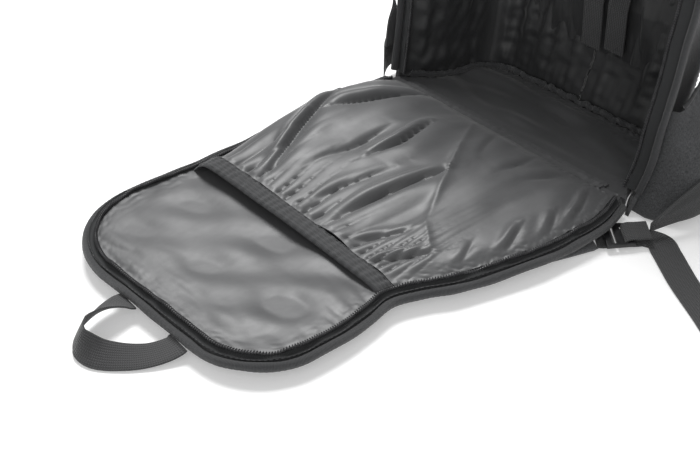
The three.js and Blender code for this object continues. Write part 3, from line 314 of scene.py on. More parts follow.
def grid_quads(rows, columns, offset=0):
    index = np.arange(rows * columns).reshape(rows, columns) + offset
    return np.stack([index[:-1, :-1], index[:-1, 1:], index[1:, 1:], index[1:, :-1]], -1).reshape(-1, 4)


def grid_flat(grid):
    """Place of each point on the flat cloth: distances along the rows and along the columns."""
    along = np.linalg.norm(np.diff(grid, axis=0), axis=-1)
    across = np.linalg.norm(np.diff(grid, axis=1), axis=-1)
    v = np.concatenate([[0], np.cumsum(along.mean(1))])
    u = np.concatenate([[0], np.cumsum(across.mean(0))])
    return np.stack(np.broadcast_arrays(u[None, :], v[:, None]), -1).reshape(-1, 2)


def grid_normals(grid):
    """Unit normals of a grid of points: cross product of its slopes along rows and columns."""
    return unit(np.cross(np.gradient(grid, axis=1), np.gradient(grid, axis=0)))


def shell(lower, upper):
    """Closed sheet between two grids of the same shape, with a wall round the edge."""
    rows, columns = lower.shape[:2]
    count = rows * columns
    index = np.arange(count).reshape(rows, columns)
    edge = np.concatenate([index[0, :-1], index[:-1, -1], index[-1, :0:-1], index[:0:-1, 0]])
    after = np.roll(edge, -1)
    wall = np.stack([edge + count, edge, after, after + count], -1)
    quads = np.concatenate([grid_quads(rows, columns)[:, ::-1], grid_quads(rows, columns, count), wall])
    flat = grid_flat(upper)
    return Mesh(np.concatenate([lower.reshape(-1, 3), upper.reshape(-1, 3)]), quads, (), np.tile(flat, (2, 1)))


def cloth(grid, thick):
    """Sheet of cloth whose outer face is the grid and whose other face is thick behind it."""
    return shell(grid - grid_normals(grid) * thick, grid)


def sweep(path, first, second, outline):
    """Closed body: an outline of (first, second) distances carried along a path. The outline may
    differ from ring to ring. Each end is closed by a fan round its middle."""
    outline = np.broadcast_to(outline, (len(path),) + outline.shape[-2:])
    rings = path[:, None] + first[:, None] * outline[..., :1] + second[:, None] * outline[..., 1:]
    count, sides = rings.shape[:2]
    ring = np.arange(count)[:-1, None] * sides
    side = np.arange(sides)[None, :]
    after = (side + 1) % sides
    quads = np.stack([ring + side, ring + after, ring + after + sides, ring + side + sides], -1)
    points = np.concatenate([rings.reshape(-1, 3), rings[0].mean(0)[None], rings[-1].mean(0)[None]])
    low, high = count * sides, count * sides + 1
    side, after, last = np.arange(sides), (np.arange(sides) + 1) % sides, (count - 1) * sides
    fans = np.concatenate([
        np.stack([np.full(sides, low), after, side], -1),
        np.stack([np.full(sides, high), last + side, last + after], -1),
    ])
    run = np.concatenate([[0], np.cumsum(np.linalg.norm(np.diff(path, axis=0), axis=1))])
    loop = np.linalg.norm(np.diff(outline[0], axis=0, append=outline[0][:1]), axis=1)
    across = np.concatenate([[0], np.cumsum(loop)[:-1]])
    flat = np.stack(np.broadcast_arrays(across[None, :], run[:, None]), -1).reshape(-1, 2)
    flat = np.concatenate([flat, [[0, 0], [0, run[-1]]]])
    return Mesh(points, quads, fans, flat)


def frames(path, lead):
    """Two directions square to a path, the second as close as can be to the lead."""
    along = tangents(path)
    first = unit(np.cross(along, np.broadcast_to(lead, along.shape)))
    return first, np.cross(first, along)


def circle(width, height, sides, swell=None):
    """Ellipse of sides points; swell, one value for each ring, scales it ring by ring."""
    angle = 2 * np.pi * np.arange(sides) / sides
    outline = np.stack([np.cos(angle) * width / 2, np.sin(angle) * height / 2], -1)
    return outline if swell is None else outline[None] * np.asarray(swell)[:, None, None]


def band_outline(width, thick, crown=0.15):
    """Flat section of webbing with half circles for edges and slightly crowned faces."""
    edge = steps(-np.pi / 2, np.pi / 2, 4)
    half = width / 2 - thick / 2
    across = steps(half, -half, 6)[1:-1]
    right = np.stack([half + np.cos(edge) * thick / 2, np.sin(edge) * thick / 2], -1)
    top = np.stack([across, thick / 2 + crown * (1 - (across / half) ** 2)], -1)
    return np.concatenate([right, top, -right, -top])


def coil(path, first, second):
    """Zipper coil: a thin wire that winds round the path."""
    length = np.linalg.norm(np.diff(path, axis=0), axis=1).sum()
    turns = int(length / COIL_PITCH)
    count = turns * COIL_STEPS + 1
    places, at = np.arange(len(path)), np.linspace(0, len(path) - 1, count)
    middle, first, second = (resample(values, places, at) for values in (path, first, second))
    angle = 2 * np.pi * np.linspace(0, turns, count)[:, None]
    wire = CHAIN_DIAMETER * COIL_WIRE_SHARE
    reach = (CHAIN_DIAMETER - wire) / 2
    line = middle + first * np.cos(angle) * reach + second * np.sin(angle) * reach
    out = unit(line - middle)
    return sweep(line, out, np.cross(out, tangents(line)), circle(wire, wire, 4))


def chain(path, lead):
    """Zipper chain: the coil and the cord inside it."""
    sides = frames(path, lead)
    return coil(path, *sides) + sweep(path, *sides, circle(COIL_CORE, COIL_CORE, 6))


def stitches(path, up, long=3.0, gap=1.6, thick=0.7):
    """Row of stitches along a path: each is a small spindle, sunk halfway into the cloth."""
    length = np.linalg.norm(np.diff(path, axis=0), axis=1).sum()
    fine = spaced(path, 0.5)
    up = np.broadcast_to(up, path.shape)
    at = np.arange(gap, length - long, long + gap) + long / 2
    place = at / length * (len(fine) - 1)

    def pick(values):
        return resample(values, np.arange(len(values)), place / (len(fine) - 1) * (len(values) - 1))

    centre, along, normal = pick(fine), unit(pick(tangents(fine))), unit(pick(up))
    side = np.cross(along, normal)
    reach = np.array([-0.5, -0.3, 0.3, 0.5]) * long
    fat = np.array([0.35, 1, 1, 0.35]) * thick / 2
    sides = np.arange(STITCH_SIDES)
    angle = 2 * np.pi * sides / STITCH_SIDES
    rings = (
        along[:, None, None] * reach[None, :, None, None]
        + side[:, None, None] * (fat[:, None] * np.cos(angle))[None, ..., None]
        + normal[:, None, None] * (fat[:, None] * np.sin(angle))[None, ..., None]
    ) + centre[:, None, None]
    low, after = np.arange(3)[:, None] * STITCH_SIDES, (sides + 1) % STITCH_SIDES
    high = low + STITCH_SIDES
    walls = np.stack([low + sides, low + after, high + after, high + sides], -1).reshape(-1, 4)
    caps = np.array([[0, 2, 1], [0, 3, 2], [0, 4, 3], [15, 16, 17], [15, 17, 18], [15, 18, 19]])
    base = (np.arange(len(centre)) * 4 * STITCH_SIDES)[:, None, None]
    return Mesh(rings.reshape(-1, 3), walls + base, caps + base)


def add_piece(name, mesh, look, nodes=(), merge=False):
    """Puts a mesh into the scene as a smooth-shaded piece that rides on the body."""
    quads, triangles = mesh.quads, mesh.triangles
    if mesh.volume() < 0:
        quads, triangles = quads[:, ::-1], triangles[:, ::-1]
    data = bpy.data.meshes.new(name)
    data.from_pydata((mesh.points * 0.001).tolist(), [], quads.tolist() + triangles.tolist())
    corners = np.concatenate([quads.ravel(), triangles.ravel()])
    layer = data.uv_layers.new(name="Cloth")
    layer.data.foreach_set("uv", (mesh.flat[corners] * 0.001).astype(np.float32).ravel())
    if merge:
        build = bmesh.new()
        build.from_mesh(data)
        bmesh.ops.remove_doubles(build, verts=build.verts, dist=2e-6)
        build.to_mesh(data)
        build.free()
    data.shade_smooth()
    data.set_sharp_from_angle(angle=np.radians(SHARP_ANGLE))
    data.materials.append(look)
    piece = bpy.data.objects.new(name, data)
    bpy.context.scene.collection.objects.link(piece)
    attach(piece, "root")
    if nodes:
        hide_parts(*nodes)
    return piece


# Shader maths


class Value:
    """A socket of a shader tree on which arithmetic adds Math nodes."""

    def __init__(self, look, socket):
        self.look, self.socket = look, socket

    def _math(self, operation, *others):
        return self.look.node("ShaderNodeMath", {"operation": operation}, [self, *others])

    def __add__(self, other):
        return self._math("ADD", other)

    def __mul__(self, other):
        return self._math("MULTIPLY", other)

    def __sub__(self, other):
        return self._math("SUBTRACT", other)

    def __rsub__(self, other):
        return self.look.node("ShaderNodeMath", {"operation": "SUBTRACT"}, [other, self])

    def __mod__(self, other):
        return self._math("MODULO", other)

    def __abs__(self):
        return self._math("ABSOLUTE")

    __radd__, __rmul__ = __add__, __mul__

    def sine(self):
        return self._math("SINE")

    def between(self, low, high):
        """0 below low, 1 above high, and a straight rise between them."""
        return self.look.node("ShaderNodeMapRange", {"clamp": True}, [self, low, high, 0.0, 1.0])


class Look:
    """A material with one Principled shader, made by short calls."""

    def __init__(self, name, roughness, **fixed):
        self.material = bpy.data.materials.new(name)
        self.material.use_nodes = True
        self.tree = self.material.node_tree
        self.shader = self.tree.nodes["Principled BSDF"]
        self.shader.inputs["Roughness"].default_value = roughness
        for socket, value in fixed.items():
            self.shader.inputs[socket.replace("_", " ")].default_value = value

    def node(self, kind, settings, inputs, output=0):
        made = self.tree.nodes.new(kind)
        for name, value in settings.items():
            setattr(made, name, value)
        pairs = inputs.items() if isinstance(inputs, dict) else enumerate(inputs)
        for key, value in pairs:
            if isinstance(value, Value):
                self.tree.links.new(value.socket, made.inputs[key])
            else:
                made.inputs[key].default_value = value
        return Value(self, made.outputs[output])

    def flat(self):
        """The cloth's own two directions, in millimetres."""
        place = self.node("ShaderNodeUVMap", {"uv_map": "Cloth"}, [])
        scaled = self.node("ShaderNodeVectorMath", {"operation": "SCALE"}, {"Vector": place, "Scale": 1000.0})
        split = self.node("ShaderNodeSeparateXYZ", {}, [scaled])
        other = Value(self, split.socket.node.outputs[1])
        return scaled, split, other

    def place(self):
        """The piece's own coordinates in millimetres."""
        made = self.tree.nodes.new("ShaderNodeTexCoord")
        held = Value(self, made.outputs["Object"])
        return self.node("ShaderNodeVectorMath", {"operation": "SCALE"}, {"Vector": held, "Scale": 1000.0})

    def noise(self, place, size, stretch=(1, 1, 1), detail=2.0):
        scale = [1 / (size * value) for value in stretch]
        moved = self.node("ShaderNodeVectorMath", {"operation": "MULTIPLY"}, [place, scale])
        return self.node("ShaderNodeTexNoise", {}, {"Vector": moved, "Scale": 1.0, "Detail": detail})

    def blend(self, share, low, high):
        inputs = {0: share, 6: (*low, 1) if isinstance(low, tuple) else low,
                  7: (*high, 1) if isinstance(high, tuple) else high}
        return self.node("ShaderNodeMix", {"data_type": "RGBA"}, inputs, 2)

    def feed(self, socket, value):
        self.tree.links.new(value.socket, self.shader.inputs[socket])

    def bump(self, height, distance, strength):
        """Relief of the given height in metres, which feeds the shader's normal."""
        inputs = {"Height": height, "Distance": distance, "Strength": strength}
        self.feed("Normal", self.node("ShaderNodeBump", {}, inputs))


def shade(colour, factor):
    return tuple(min(channel * factor, 1) for channel in colour)


def melange_look(colour):
    """Heather cloth: a plain weave whose yarns are spun from dark and light fibres."""
    look = Look("melange_cloth", 0.92, Sheen_Weight=0.25, Sheen_Roughness=0.5, Specular_IOR_Level=0.25)
    flat, u, v = look.flat()
    warp = look.noise(flat, 1, (0.5, 3.4, 1))
    weft = look.noise(flat, 1, (3.4, 0.5, 1))
    cloud = look.noise(flat, 26)
    fleck = (warp * 0.5 + weft * 0.5 + cloud * 0.12).between(0.38, 0.68)
    look.feed("Base Color", look.blend(fleck, shade(colour, 0.42), shade(colour, 1.9)))
    weave = (u * 6.3).sine() * (v * 6.3).sine()
    look.bump(weave * 0.5 + warp * 0.4 + weft * 0.4, 0.0004, 0.5)
    look.feed("Roughness", 0.97 - fleck * 0.15)
    return look.material


def satin_look(colour, name="satin_lining"):
    """Smooth nylon lining: a fine twill with a soft sheen, faint crumples and slubs."""
    look = Look(name, 0.42, Sheen_Weight=0.3, Sheen_Roughness=0.35, Specular_IOR_Level=0.45, Anisotropic=0.35)
    flat, u, v = look.flat()
    crumple = look.noise(flat, 11, (1, 1.7, 1), 3.0)
    slub = look.noise(flat, 1, (0.7, 14, 1))
    twill = ((u + v) * 5.2).sine()
    cloud = look.noise(flat, 60)
    tone = (cloud * 0.6 + slub * 0.4).between(0.3, 0.72)
    look.feed("Base Color", look.blend(tone, shade(colour, 0.86), shade(colour, 1.12)))
    look.feed("Roughness", 0.36 + crumple * 0.16 + slub * 0.06)
    look.bump(crumple + twill * 0.02 + slub * 0.03, 0.0005, 0.4)
    return look.material


def webbing_look(colour, name="webbing", across=2.2, along=1.7):
    """Woven webbing: ribs along its length crossed by the turns of the weft."""
    look = Look(name, 0.72, Sheen_Weight=0.2, Specular_IOR_Level=0.35)
    flat, u, v = look.flat()
    rib = (u * (2 * np.pi / across)).sine()
    turn = (v * (2 * np.pi / along) + rib * 1.2).sine()
    fuzz = look.noise(flat, 0.8)
    relief = rib * 0.35 + turn * 0.5 + fuzz * 0.3
    # The colour follows the relief: painted shade in the grooves, lighter ribs
    look.feed("Base Color", look.blend(relief.between(-0.6, 0.9), shade(colour, 0.6), shade(colour, 1.25)))
    look.feed("Roughness", 0.8 - relief * 0.08)
    look.bump(relief, 0.0004, 0.75)
    return look.material


def tape_look(colour):
    """Zipper tape: fine herringbone."""
    look = Look("zipper_tape", 0.75, Specular_IOR_Level=0.3)
    _, u, v = look.flat()
    chevron = (abs((u * 0.25) % 1.0 - 0.5) * 12 + v * 4.4).sine()
    look.feed("Base Color", look.blend(chevron.between(-1, 1), shade(colour, 0.7), shade(colour, 1.3)))
    look.feed("Roughness", 0.8 - chevron * 0.06)
    look.bump(chevron, 0.0002, 0.5)
    return look.material


def moulded_look(colour, name, roughness):
    """Moulded plastic with a fine spark-eroded grain and slightly worn high spots."""
    look = Look(name, roughness, Specular_IOR_Level=0.5)
    place = look.place()
    grain, wear = look.noise(place, 0.5), look.noise(place, 7)
    look.feed("Base Color", look.blend(wear.between(0.35, 0.75), shade(colour, 0.8), shade(colour, 1.6)))
    look.feed("Roughness", roughness - 0.05 + wear * 0.14)
    look.bump(grain, 0.0001, 0.4)
    return look.material


def thread_look(colour):
    """Sewing thread: twisted fibres with a slight gloss."""
    look = Look("sewing_thread", 0.55, Specular_IOR_Level=0.4)
    fibre = look.noise(look.place(), 0.35)
    look.feed("Base Color", look.blend(fibre.between(0.3, 0.7), shade(colour, 0.7), shade(colour, 1.4)))
    look.feed("Roughness", 0.5 + fibre * 0.2)
    return look.material


LOOKS = {}


def look(name):
    """The finish of that name, made once from the colours in the sidebar."""
    colours = bpy.context.scene.backpack_colours
    if name not in LOOKS:
        LOOKS[name] = {
            "melange": lambda: melange_look(tuple(colours.melange)),
            "satin": lambda: satin_look(tuple(colours.satin)),
            # inner: the satin finish in a far darker colour; the darkness is painted shade for the
            # compartment's linings and inner pocket
            "inner": lambda: satin_look(tuple(colours.inner), "inner_lining_painted_shade"),
            "wing": lambda: webbing_look(tuple(colours.wing), "wing_cloth", 1.1, 1.1),
            "webbing": lambda: webbing_look(tuple(colours.webbing)),
            "binding": lambda: webbing_look(tuple(colours.binding), "seam_binding", 9, 1.1),
            "tape": lambda: tape_look(tuple(colours.zipper)),
            "coil": lambda: moulded_look(tuple(colours.coil), "zipper_coil", 0.42),
            "plastic": lambda: moulded_look(tuple(colours.plastic), "moulded_plastic", 0.38),
            "thread": lambda: thread_look(tuple(colours.thread)),
        }[name]()
    return LOOKS[name]


# The body


def settle(x, depth, height):
    """Point of the straight body where the leaning body has it: the sides close in towards the
    front, the whole leans back with the height, and the front wall bulges."""
    x, depth, height = matched(x, depth, height)
    up, deep = height / BODY_HEIGHT, depth / BODY_DEPTH
    side = np.clip(2 * x / BODY_WIDTH, -1, 1)
    share = (side + 1) / 2
    left, right, wide_left, wide_right = (
        read(BODY_STANCE, "up", up, key) for key in ("left", "right", "wide_left", "wide_right")
    )
    back, spread = BODY_DEPTH * mix(left, right, share), mix(wide_left, wide_right, share)
    wide = read(BODY_PLAN, "deep", deep, "wide") * spread
    bulge = FRONT_BULGE * np.sin(np.pi * np.minimum(up, 1)) * (1 - side**2) * np.maximum(deep, 0) ** 2
    return np.stack([x * wide, HINGE_Y + depth + back + bulge, height], -1)


def arch_length():
    return 2 * (BODY_HEIGHT - BODY_CORNER) + BODY_CORNER * np.pi + BODY_WIDTH - 2 * BODY_CORNER


def arch_point(share, inset):
    """Point of the arched outline, from the left foot over the top to the right foot."""
    straight, arc = BODY_HEIGHT - BODY_CORNER, BODY_CORNER * np.pi / 2
    flat = BODY_WIDTH - 2 * BODY_CORNER
    half, radius = BODY_WIDTH / 2 - inset, BODY_CORNER - inset
    run = share * arch_length()
    side = np.where(run <= arch_length() - run, -1.0, 1.0)
    near = np.minimum(run, arch_length() - run)
    angle = np.clip((near - straight) / BODY_CORNER, 0, np.pi / 2)
    rest = np.maximum(near - straight - arc, 0)
    x = side * (half - radius + radius * np.cos(angle)) * (1 - rest / (flat / 2))
    return x, np.minimum(near, straight) + radius * np.sin(angle)


def base_top(depth):
    share = np.clip(1 - depth / HINGE_RISE_DEPTH, 0, 1)
    return BASE_THICK + HINGE_RISE * share * share * (3 - 2 * share)


def lift_foot(height, foot):
    return np.where(height < FOOT_BAND, foot + height * (FOOT_BAND - foot) / FOOT_BAND, height)


def gusset_point(share, run, off, foot=0):
    """Point of the side or top wall: share runs along the arch, run from the rim to the middle
    of the fillet, off is the distance inside the outer face."""
    straight = BODY_DEPTH - FRONT_FILLET
    travelled = run * (straight + FRONT_FILLET * np.pi / 4)
    turn = np.maximum(travelled - straight, 0) / FRONT_FILLET
    inset = FRONT_FILLET - (FRONT_FILLET - off) * np.cos(turn)
    depth = np.minimum(travelled, straight) + (FRONT_FILLET - off) * np.sin(turn)
    x, height = arch_point(share, inset)
    return settle(x, depth, lift_foot(height, base_top(depth) + foot) if foot else height)


def front_point(share, across, off, foot=0):
    """Point of the front wall: across runs from its middle line to the middle of the fillet."""
    turn = np.pi / 2 - np.maximum(across - FRONT_FLAT, 0) / FRONT_BEND * np.pi / 4
    inset = FRONT_FILLET - (FRONT_FILLET - off) * np.cos(turn)
    depth = BODY_DEPTH - FRONT_FILLET + (FRONT_FILLET - off) * np.sin(turn)
    x, edge = arch_point(share, inset)
    spine = np.minimum(edge, BODY_HEIGHT - BODY_CORNER - FRONT_FILLET)
    flat = np.minimum(across / FRONT_FLAT, 1)
    height = mix(spine, edge, flat)
    return settle(x * flat, depth, lift_foot(height, base_top(depth) + foot) if foot else height)


def arch_range(start, end, gap):
    """Shares along the arch between two distances from the left foot."""
    return np.linspace(start, end, int((end - start) / gap) + 1)[:, None] / arch_length()


SIDE_RUN = BODY_HEIGHT - BODY_CORNER
TOP_RUN = BODY_CORNER * np.pi + BODY_WIDTH - 2 * BODY_CORNER
WALL_RANGES = {
    "side_panel_left": (0, SIDE_RUN - CLEAR),
    "side_panel_right": (SIDE_RUN + TOP_RUN + CLEAR, 2 * SIDE_RUN + TOP_RUN),
    "top_panel": (SIDE_RUN + CLEAR, SIDE_RUN + TOP_RUN - CLEAR),
}


def make_walls():
    """Outer walls: the shape of the body with soft dents, and a roll along each seam."""
    for seed, (name, (start, end)) in enumerate(WALL_RANGES.items()):
        share, run = arch_range(start, end, 4), steps(0, 1 + SEAM_OVERLAP / BODY_DEPTH, 36)[None]
        x, z = share * arch_length(), run * BODY_DEPTH
        edge = np.minimum(run, 1 - run) * BODY_DEPTH
        dent = rise(edge, 0, 22) * (1.4 + 1.1 * ripple(x, z, 70, seed))
        pucker = 0.5 * np.exp(-edge / 7) * ripple(x, z * 0.2, 9, seed + 9)
        outer = gusset_point(share, run, np.maximum(dent + pucker, 0) * 0.8)
        inner = gusset_point(share, run, WALL_THICK + 0 * dent)
        add_piece(name + "_cloth", shell(inner, outer), look("melange"), [name])
    share, across = arch_range(0, arch_length(), 4.5), steps(0, 1, 44)[None]
    flat = front_point(share, across, 0)
    dent = rise(1 - across, 0, 0.2) * (2 + 1.5 * ripple(flat[..., 0], flat[..., 2], 85, 5))
    outer = front_point(share, across, np.maximum(dent, 0) * 0.8)
    inner = front_point(share, across, WALL_THICK + 0 * dent)
    mesh = shell(inner, outer)
    add_piece("front_panel_cloth", mesh, look("melange"), ["front_panel"], merge=True)


def floor_half(depth, inset):
    radius = FRONT_FILLET - inset
    into = np.clip(depth - (BODY_DEPTH - FRONT_FILLET), 0, radius)
    return BODY_WIDTH / 2 - FRONT_FILLET + np.sqrt(radius * radius - into * into)


def floor_grid(inset, height):
    """Floor of the body at a height that is a function of the two distances over it."""
    share = np.sin(steps(0, 1, 60) * np.pi / 2)[:, None]
    depth = share * (BODY_DEPTH - inset)
    across = eased(110)[None]
    place = settle(across * floor_half(depth, inset), depth, 0)
    place[..., 2] = height(place[..., 0], depth + 0 * across)
    return place


def make_base():
    """Padded base: flat below, rounded at its edges, and rising towards the hinge."""
    inset = WALL_THICK + LINING_GAP
    low = floor_grid(inset, lambda x, depth: 0 * depth)
    high = floor_grid(inset, lambda x, depth: base_top(depth))
    piece = add_piece("base_pad", shell(low, high), look("melange"), ["base_panel"])


def wall_folds(name, run, height):
    """Folds of a side lining: a soft roll behind the rim, a sag over the floor and long dents."""
    right = name.endswith("right")
    depth = run * BODY_DEPTH
    edge = np.minimum(depth, LINING_DEPTH - depth)
    roll = 3.5 * np.exp(-(((depth - 16) / 8) ** 2)) * rise(height, 20, 60)
    sag = (5 if right else 3) * np.exp(-(((height - 34 + depth * 0.08) / 9) ** 2)) * rise(edge, 4, 26)
    crease = (4 if right else 2) * np.exp(-(((height - 52 + depth * 0.1) / 6) ** 2)) * rise(edge, 4, 26)
    long = 2.2 * ripple(depth, height * 0.22, 34, 31 + right) * rise(edge, 2, 22)
    fine = 0.7 * ripple(depth, height, 13, 41 + right) * rise(edge, 0, 10)
    return np.maximum(2 + roll + sag - crease + long + fine, 0.2) * rise(edge, -6, 12)


def front_folds(x, height):
    """Folds of the front wall's lining: the long ones of the table, waves between them and
    short puckers over the floor."""
    up = np.clip(height / BODY_HEIGHT, 0, 1)
    total = 2 + 1.2 * ripple(x, height * 0.3, 40, 51) + 0.6 * ripple(x, height, 15, 52)
    for foot, top, lift, wide in zip(*(FRONT_FOLDS[key] for key in ("foot", "top", "lift", "wide"))):
        reach = (x - mix(foot, top, up)) / (wide * (1 + 0.5 * up))
        total = total + lift * np.exp(-reach * reach) * rise(height, 14, 70)
    pucker = 1.4 * np.abs(ripple(x, height * 0.1, 12, 53)) * np.exp(-np.maximum(height - 12, 0) / 16)
    return np.maximum(total + pucker, 0.3)


def make_linings():
    """Linings of the walls: thin cloth that stands off them in folds."""
    foot = LINING_THICK + 2 * CLEAR
    names = dict(zip(("side_lining_left", "side_lining_right", "top_lining"), WALL_RANGES.values()))
    for name, (start, end) in names.items():
        share, run = arch_range(start, end, 2.6), steps(0, 1 + SEAM_OVERLAP / BODY_DEPTH, 52)[None]
        height = np.minimum(share, 1 - share) * arch_length() + 0 * run
        if name == "top_lining":
            edge = np.minimum(run, 1 - run) * BODY_DEPTH
            folds = rise(edge, 0, 20) * np.maximum(2 + 2 * ripple(height, run * 30, 40, 61), 0)
        else:
            folds = wall_folds(name, run, height)
        inner = gusset_point(share, run, LINING_INSET + LINING_THICK + folds, foot)
        outer = gusset_point(share, run, LINING_INSET + folds, foot)
        piece = add_piece(name + "_cloth", shell(outer, inner), look("inner"), [name])
        long = (end - start) / 1000
        name.replace("lining", "panel") + "_cloth"
    share, across = arch_range(0, arch_length(), 2.8), steps(0, 1, 62)[None]
    flat = front_point(share, across, LINING_INSET, foot)
    folds = front_folds(flat[..., 0], flat[..., 2]) * rise(1 - across, 0, 0.14) * rise(flat[..., 2], 6, 26)
    folds = folds * (1 - rise(flat[..., 2], 330, 380))
    inner = front_point(share, across, LINING_INSET + LINING_THICK + folds, foot)
    outer = front_point(share, across, LINING_INSET + folds, foot)
    mesh = shell(outer, inner)
    piece = add_piece("front_lining_cloth", mesh, look("inner"), ["front_lining"], merge=True)


def floor_waves(x, depth):
    """Gentle waves of the floor's lining, with puckers where it is sewn to the walls."""
    edge = np.minimum(BODY_DEPTH - 6 - depth, floor_half(depth, 6) - np.abs(x) / 0.9)
    waves = 1.6 * (1 + ripple(x, depth * 2.5, 75, 71)) * rise(depth, 6, 40) * rise(edge, 0, 24)
    pucker = 1.3 * np.abs(ripple(x, depth, 9, 72)) * np.exp(-np.maximum(edge - 5, 0) / 9)
    return waves + pucker * rise(depth, 10, 30)


def make_floor():
    """Lining of the floor, and the ruffled binding where it meets the walls."""
    inset = WALL_THICK + LINING_GAP + CLEAR
    low = floor_grid(inset, lambda x, depth: base_top(depth) + CLEAR)
    high = floor_grid(inset, lambda x, depth: base_top(depth) + CLEAR + LINING_THICK + floor_waves(x, depth))
    low[..., 2] = np.maximum(low[..., 2], high[..., 2] - 1.2)
    piece = add_piece("floor_lining_cloth", shell(low, high), look("satin"), ["floor_lining"])
    reach = 3.2
    inset = INSIDE + LINING_GAP + reach
    straight = BODY_DEPTH - FRONT_FILLET
    turn = steps(0, np.pi / 2, 20)
    side = BODY_WIDTH / 2 - FRONT_FILLET + (FRONT_FILLET - inset) * np.cos(turn)
    deep = straight + (FRONT_FILLET - inset) * np.sin(turn)
    left = np.stack([-np.full(9, BODY_WIDTH / 2 - inset), steps(0.1, 0.95, 8) * straight], -1)
    corner = np.stack([-side, deep], -1)
    back = steps(-1, 1, 30)[1:-1] * (BODY_WIDTH / 2 - FRONT_FILLET)
    back = np.stack([back, np.full(29, BODY_DEPTH - inset)], -1)
    plan = np.concatenate([left, corner, back, corner[::-1] * [-1, 1], left[::-1] * [-1, 1]])
    height = base_top(plan[:, 1]) + 2 * CLEAR + LINING_THICK + reach
    path = spaced(settle(plan[:, 0], plan[:, 1], height), RUFFLE_GAP)
    run = np.arange(len(path)) * RUFFLE_GAP
    path[:, 2] += 0.9 + 0.9 * ripple(run, 0 * run, 17, 75)
    path[:, 1] += 0.6 * ripple(run, 0 * run, 11, 76)
    first, second = frames(path, (0, 0, 1))
    swell = 1 + 0.16 * ripple(run, 0 * run, 7, 77) + 0.07 * np.sin(run * 2 * np.pi / 4.2)
    ruffle = sweep(path, first, second, circle(4.6, 6.6, 12, swell))
    add_piece("floor_seam_ruffle", ruffle, look("binding"), ["floor_seam_binding"])


# Zipper and bindings


def rim_shares(count):
    """Shares along the arch from one foot of the rim to the other."""
    start = (LINING_TOP + CHAIN_DIAMETER) / arch_length()
    return steps(start, 1 - start, count)


def rim_path(inset, forward):
    x, height = arch_point(rim_shares(700), inset)
    return spaced(settle(x, -forward, height), PATH_GAP)


def panel_half(along, inset, across):
    """Half width of the panel at a distance from the hinge: straight sides, a quarter circle
    at each corner of the tip, and the spread of the outline table."""
    left = across < 0
    corner = np.where(left, PANEL_CORNER_LEFT, PANEL_CORNER_RIGHT)
    radius = corner - inset
    into = np.clip(along - (PANEL_LENGTH - corner), 0, radius)
    round_half = PANEL_WIDTH / 2 - corner + np.sqrt(np.maximum(radius * radius - into * into, 0))
    share = along / PANEL_LENGTH
    spreads = [read(PANEL_OUTLINE, "along", share, side) for side in ("left", "right")]
    return round_half + (np.where(left, *spreads) - 1) * PANEL_WIDTH / 2


def panel_place(across, along, inset, height):
    across, along, height = matched(across, along, height)
    x = across * panel_half(along, inset, across) - along * PANEL_SKEW
    return np.stack([x, HINGE_Y - along, height], -1)


def panel_rows(inset, straight, corner):
    """Distances of the panel's rows from the hinge, closer together round its corners."""
    most = max(PANEL_CORNER_LEFT, PANEL_CORNER_RIGHT)
    turned = PANEL_LENGTH - most
    bend = turned + (most - inset) * np.sin(steps(0, np.pi / 2, corner)[1:])
    return np.concatenate([steps(CLEAR, turned, straight), bend])[:, None]


def panel_edge(inset, height, gap=PATH_GAP):
    """Path round the panel's edge from the left hinge corner over the tip to the right one."""
    along = np.maximum(panel_rows(inset, 80, 60)[:, 0], HINGE_REACH)
    left, right = (panel_place(side, along, inset, height) for side in (-1, 1))
    tip = panel_place(steps(-1, 1, 20)[1:-1], along[-1], inset, height)
    return spaced(np.concatenate([left, tip, right[::-1]]), gap)


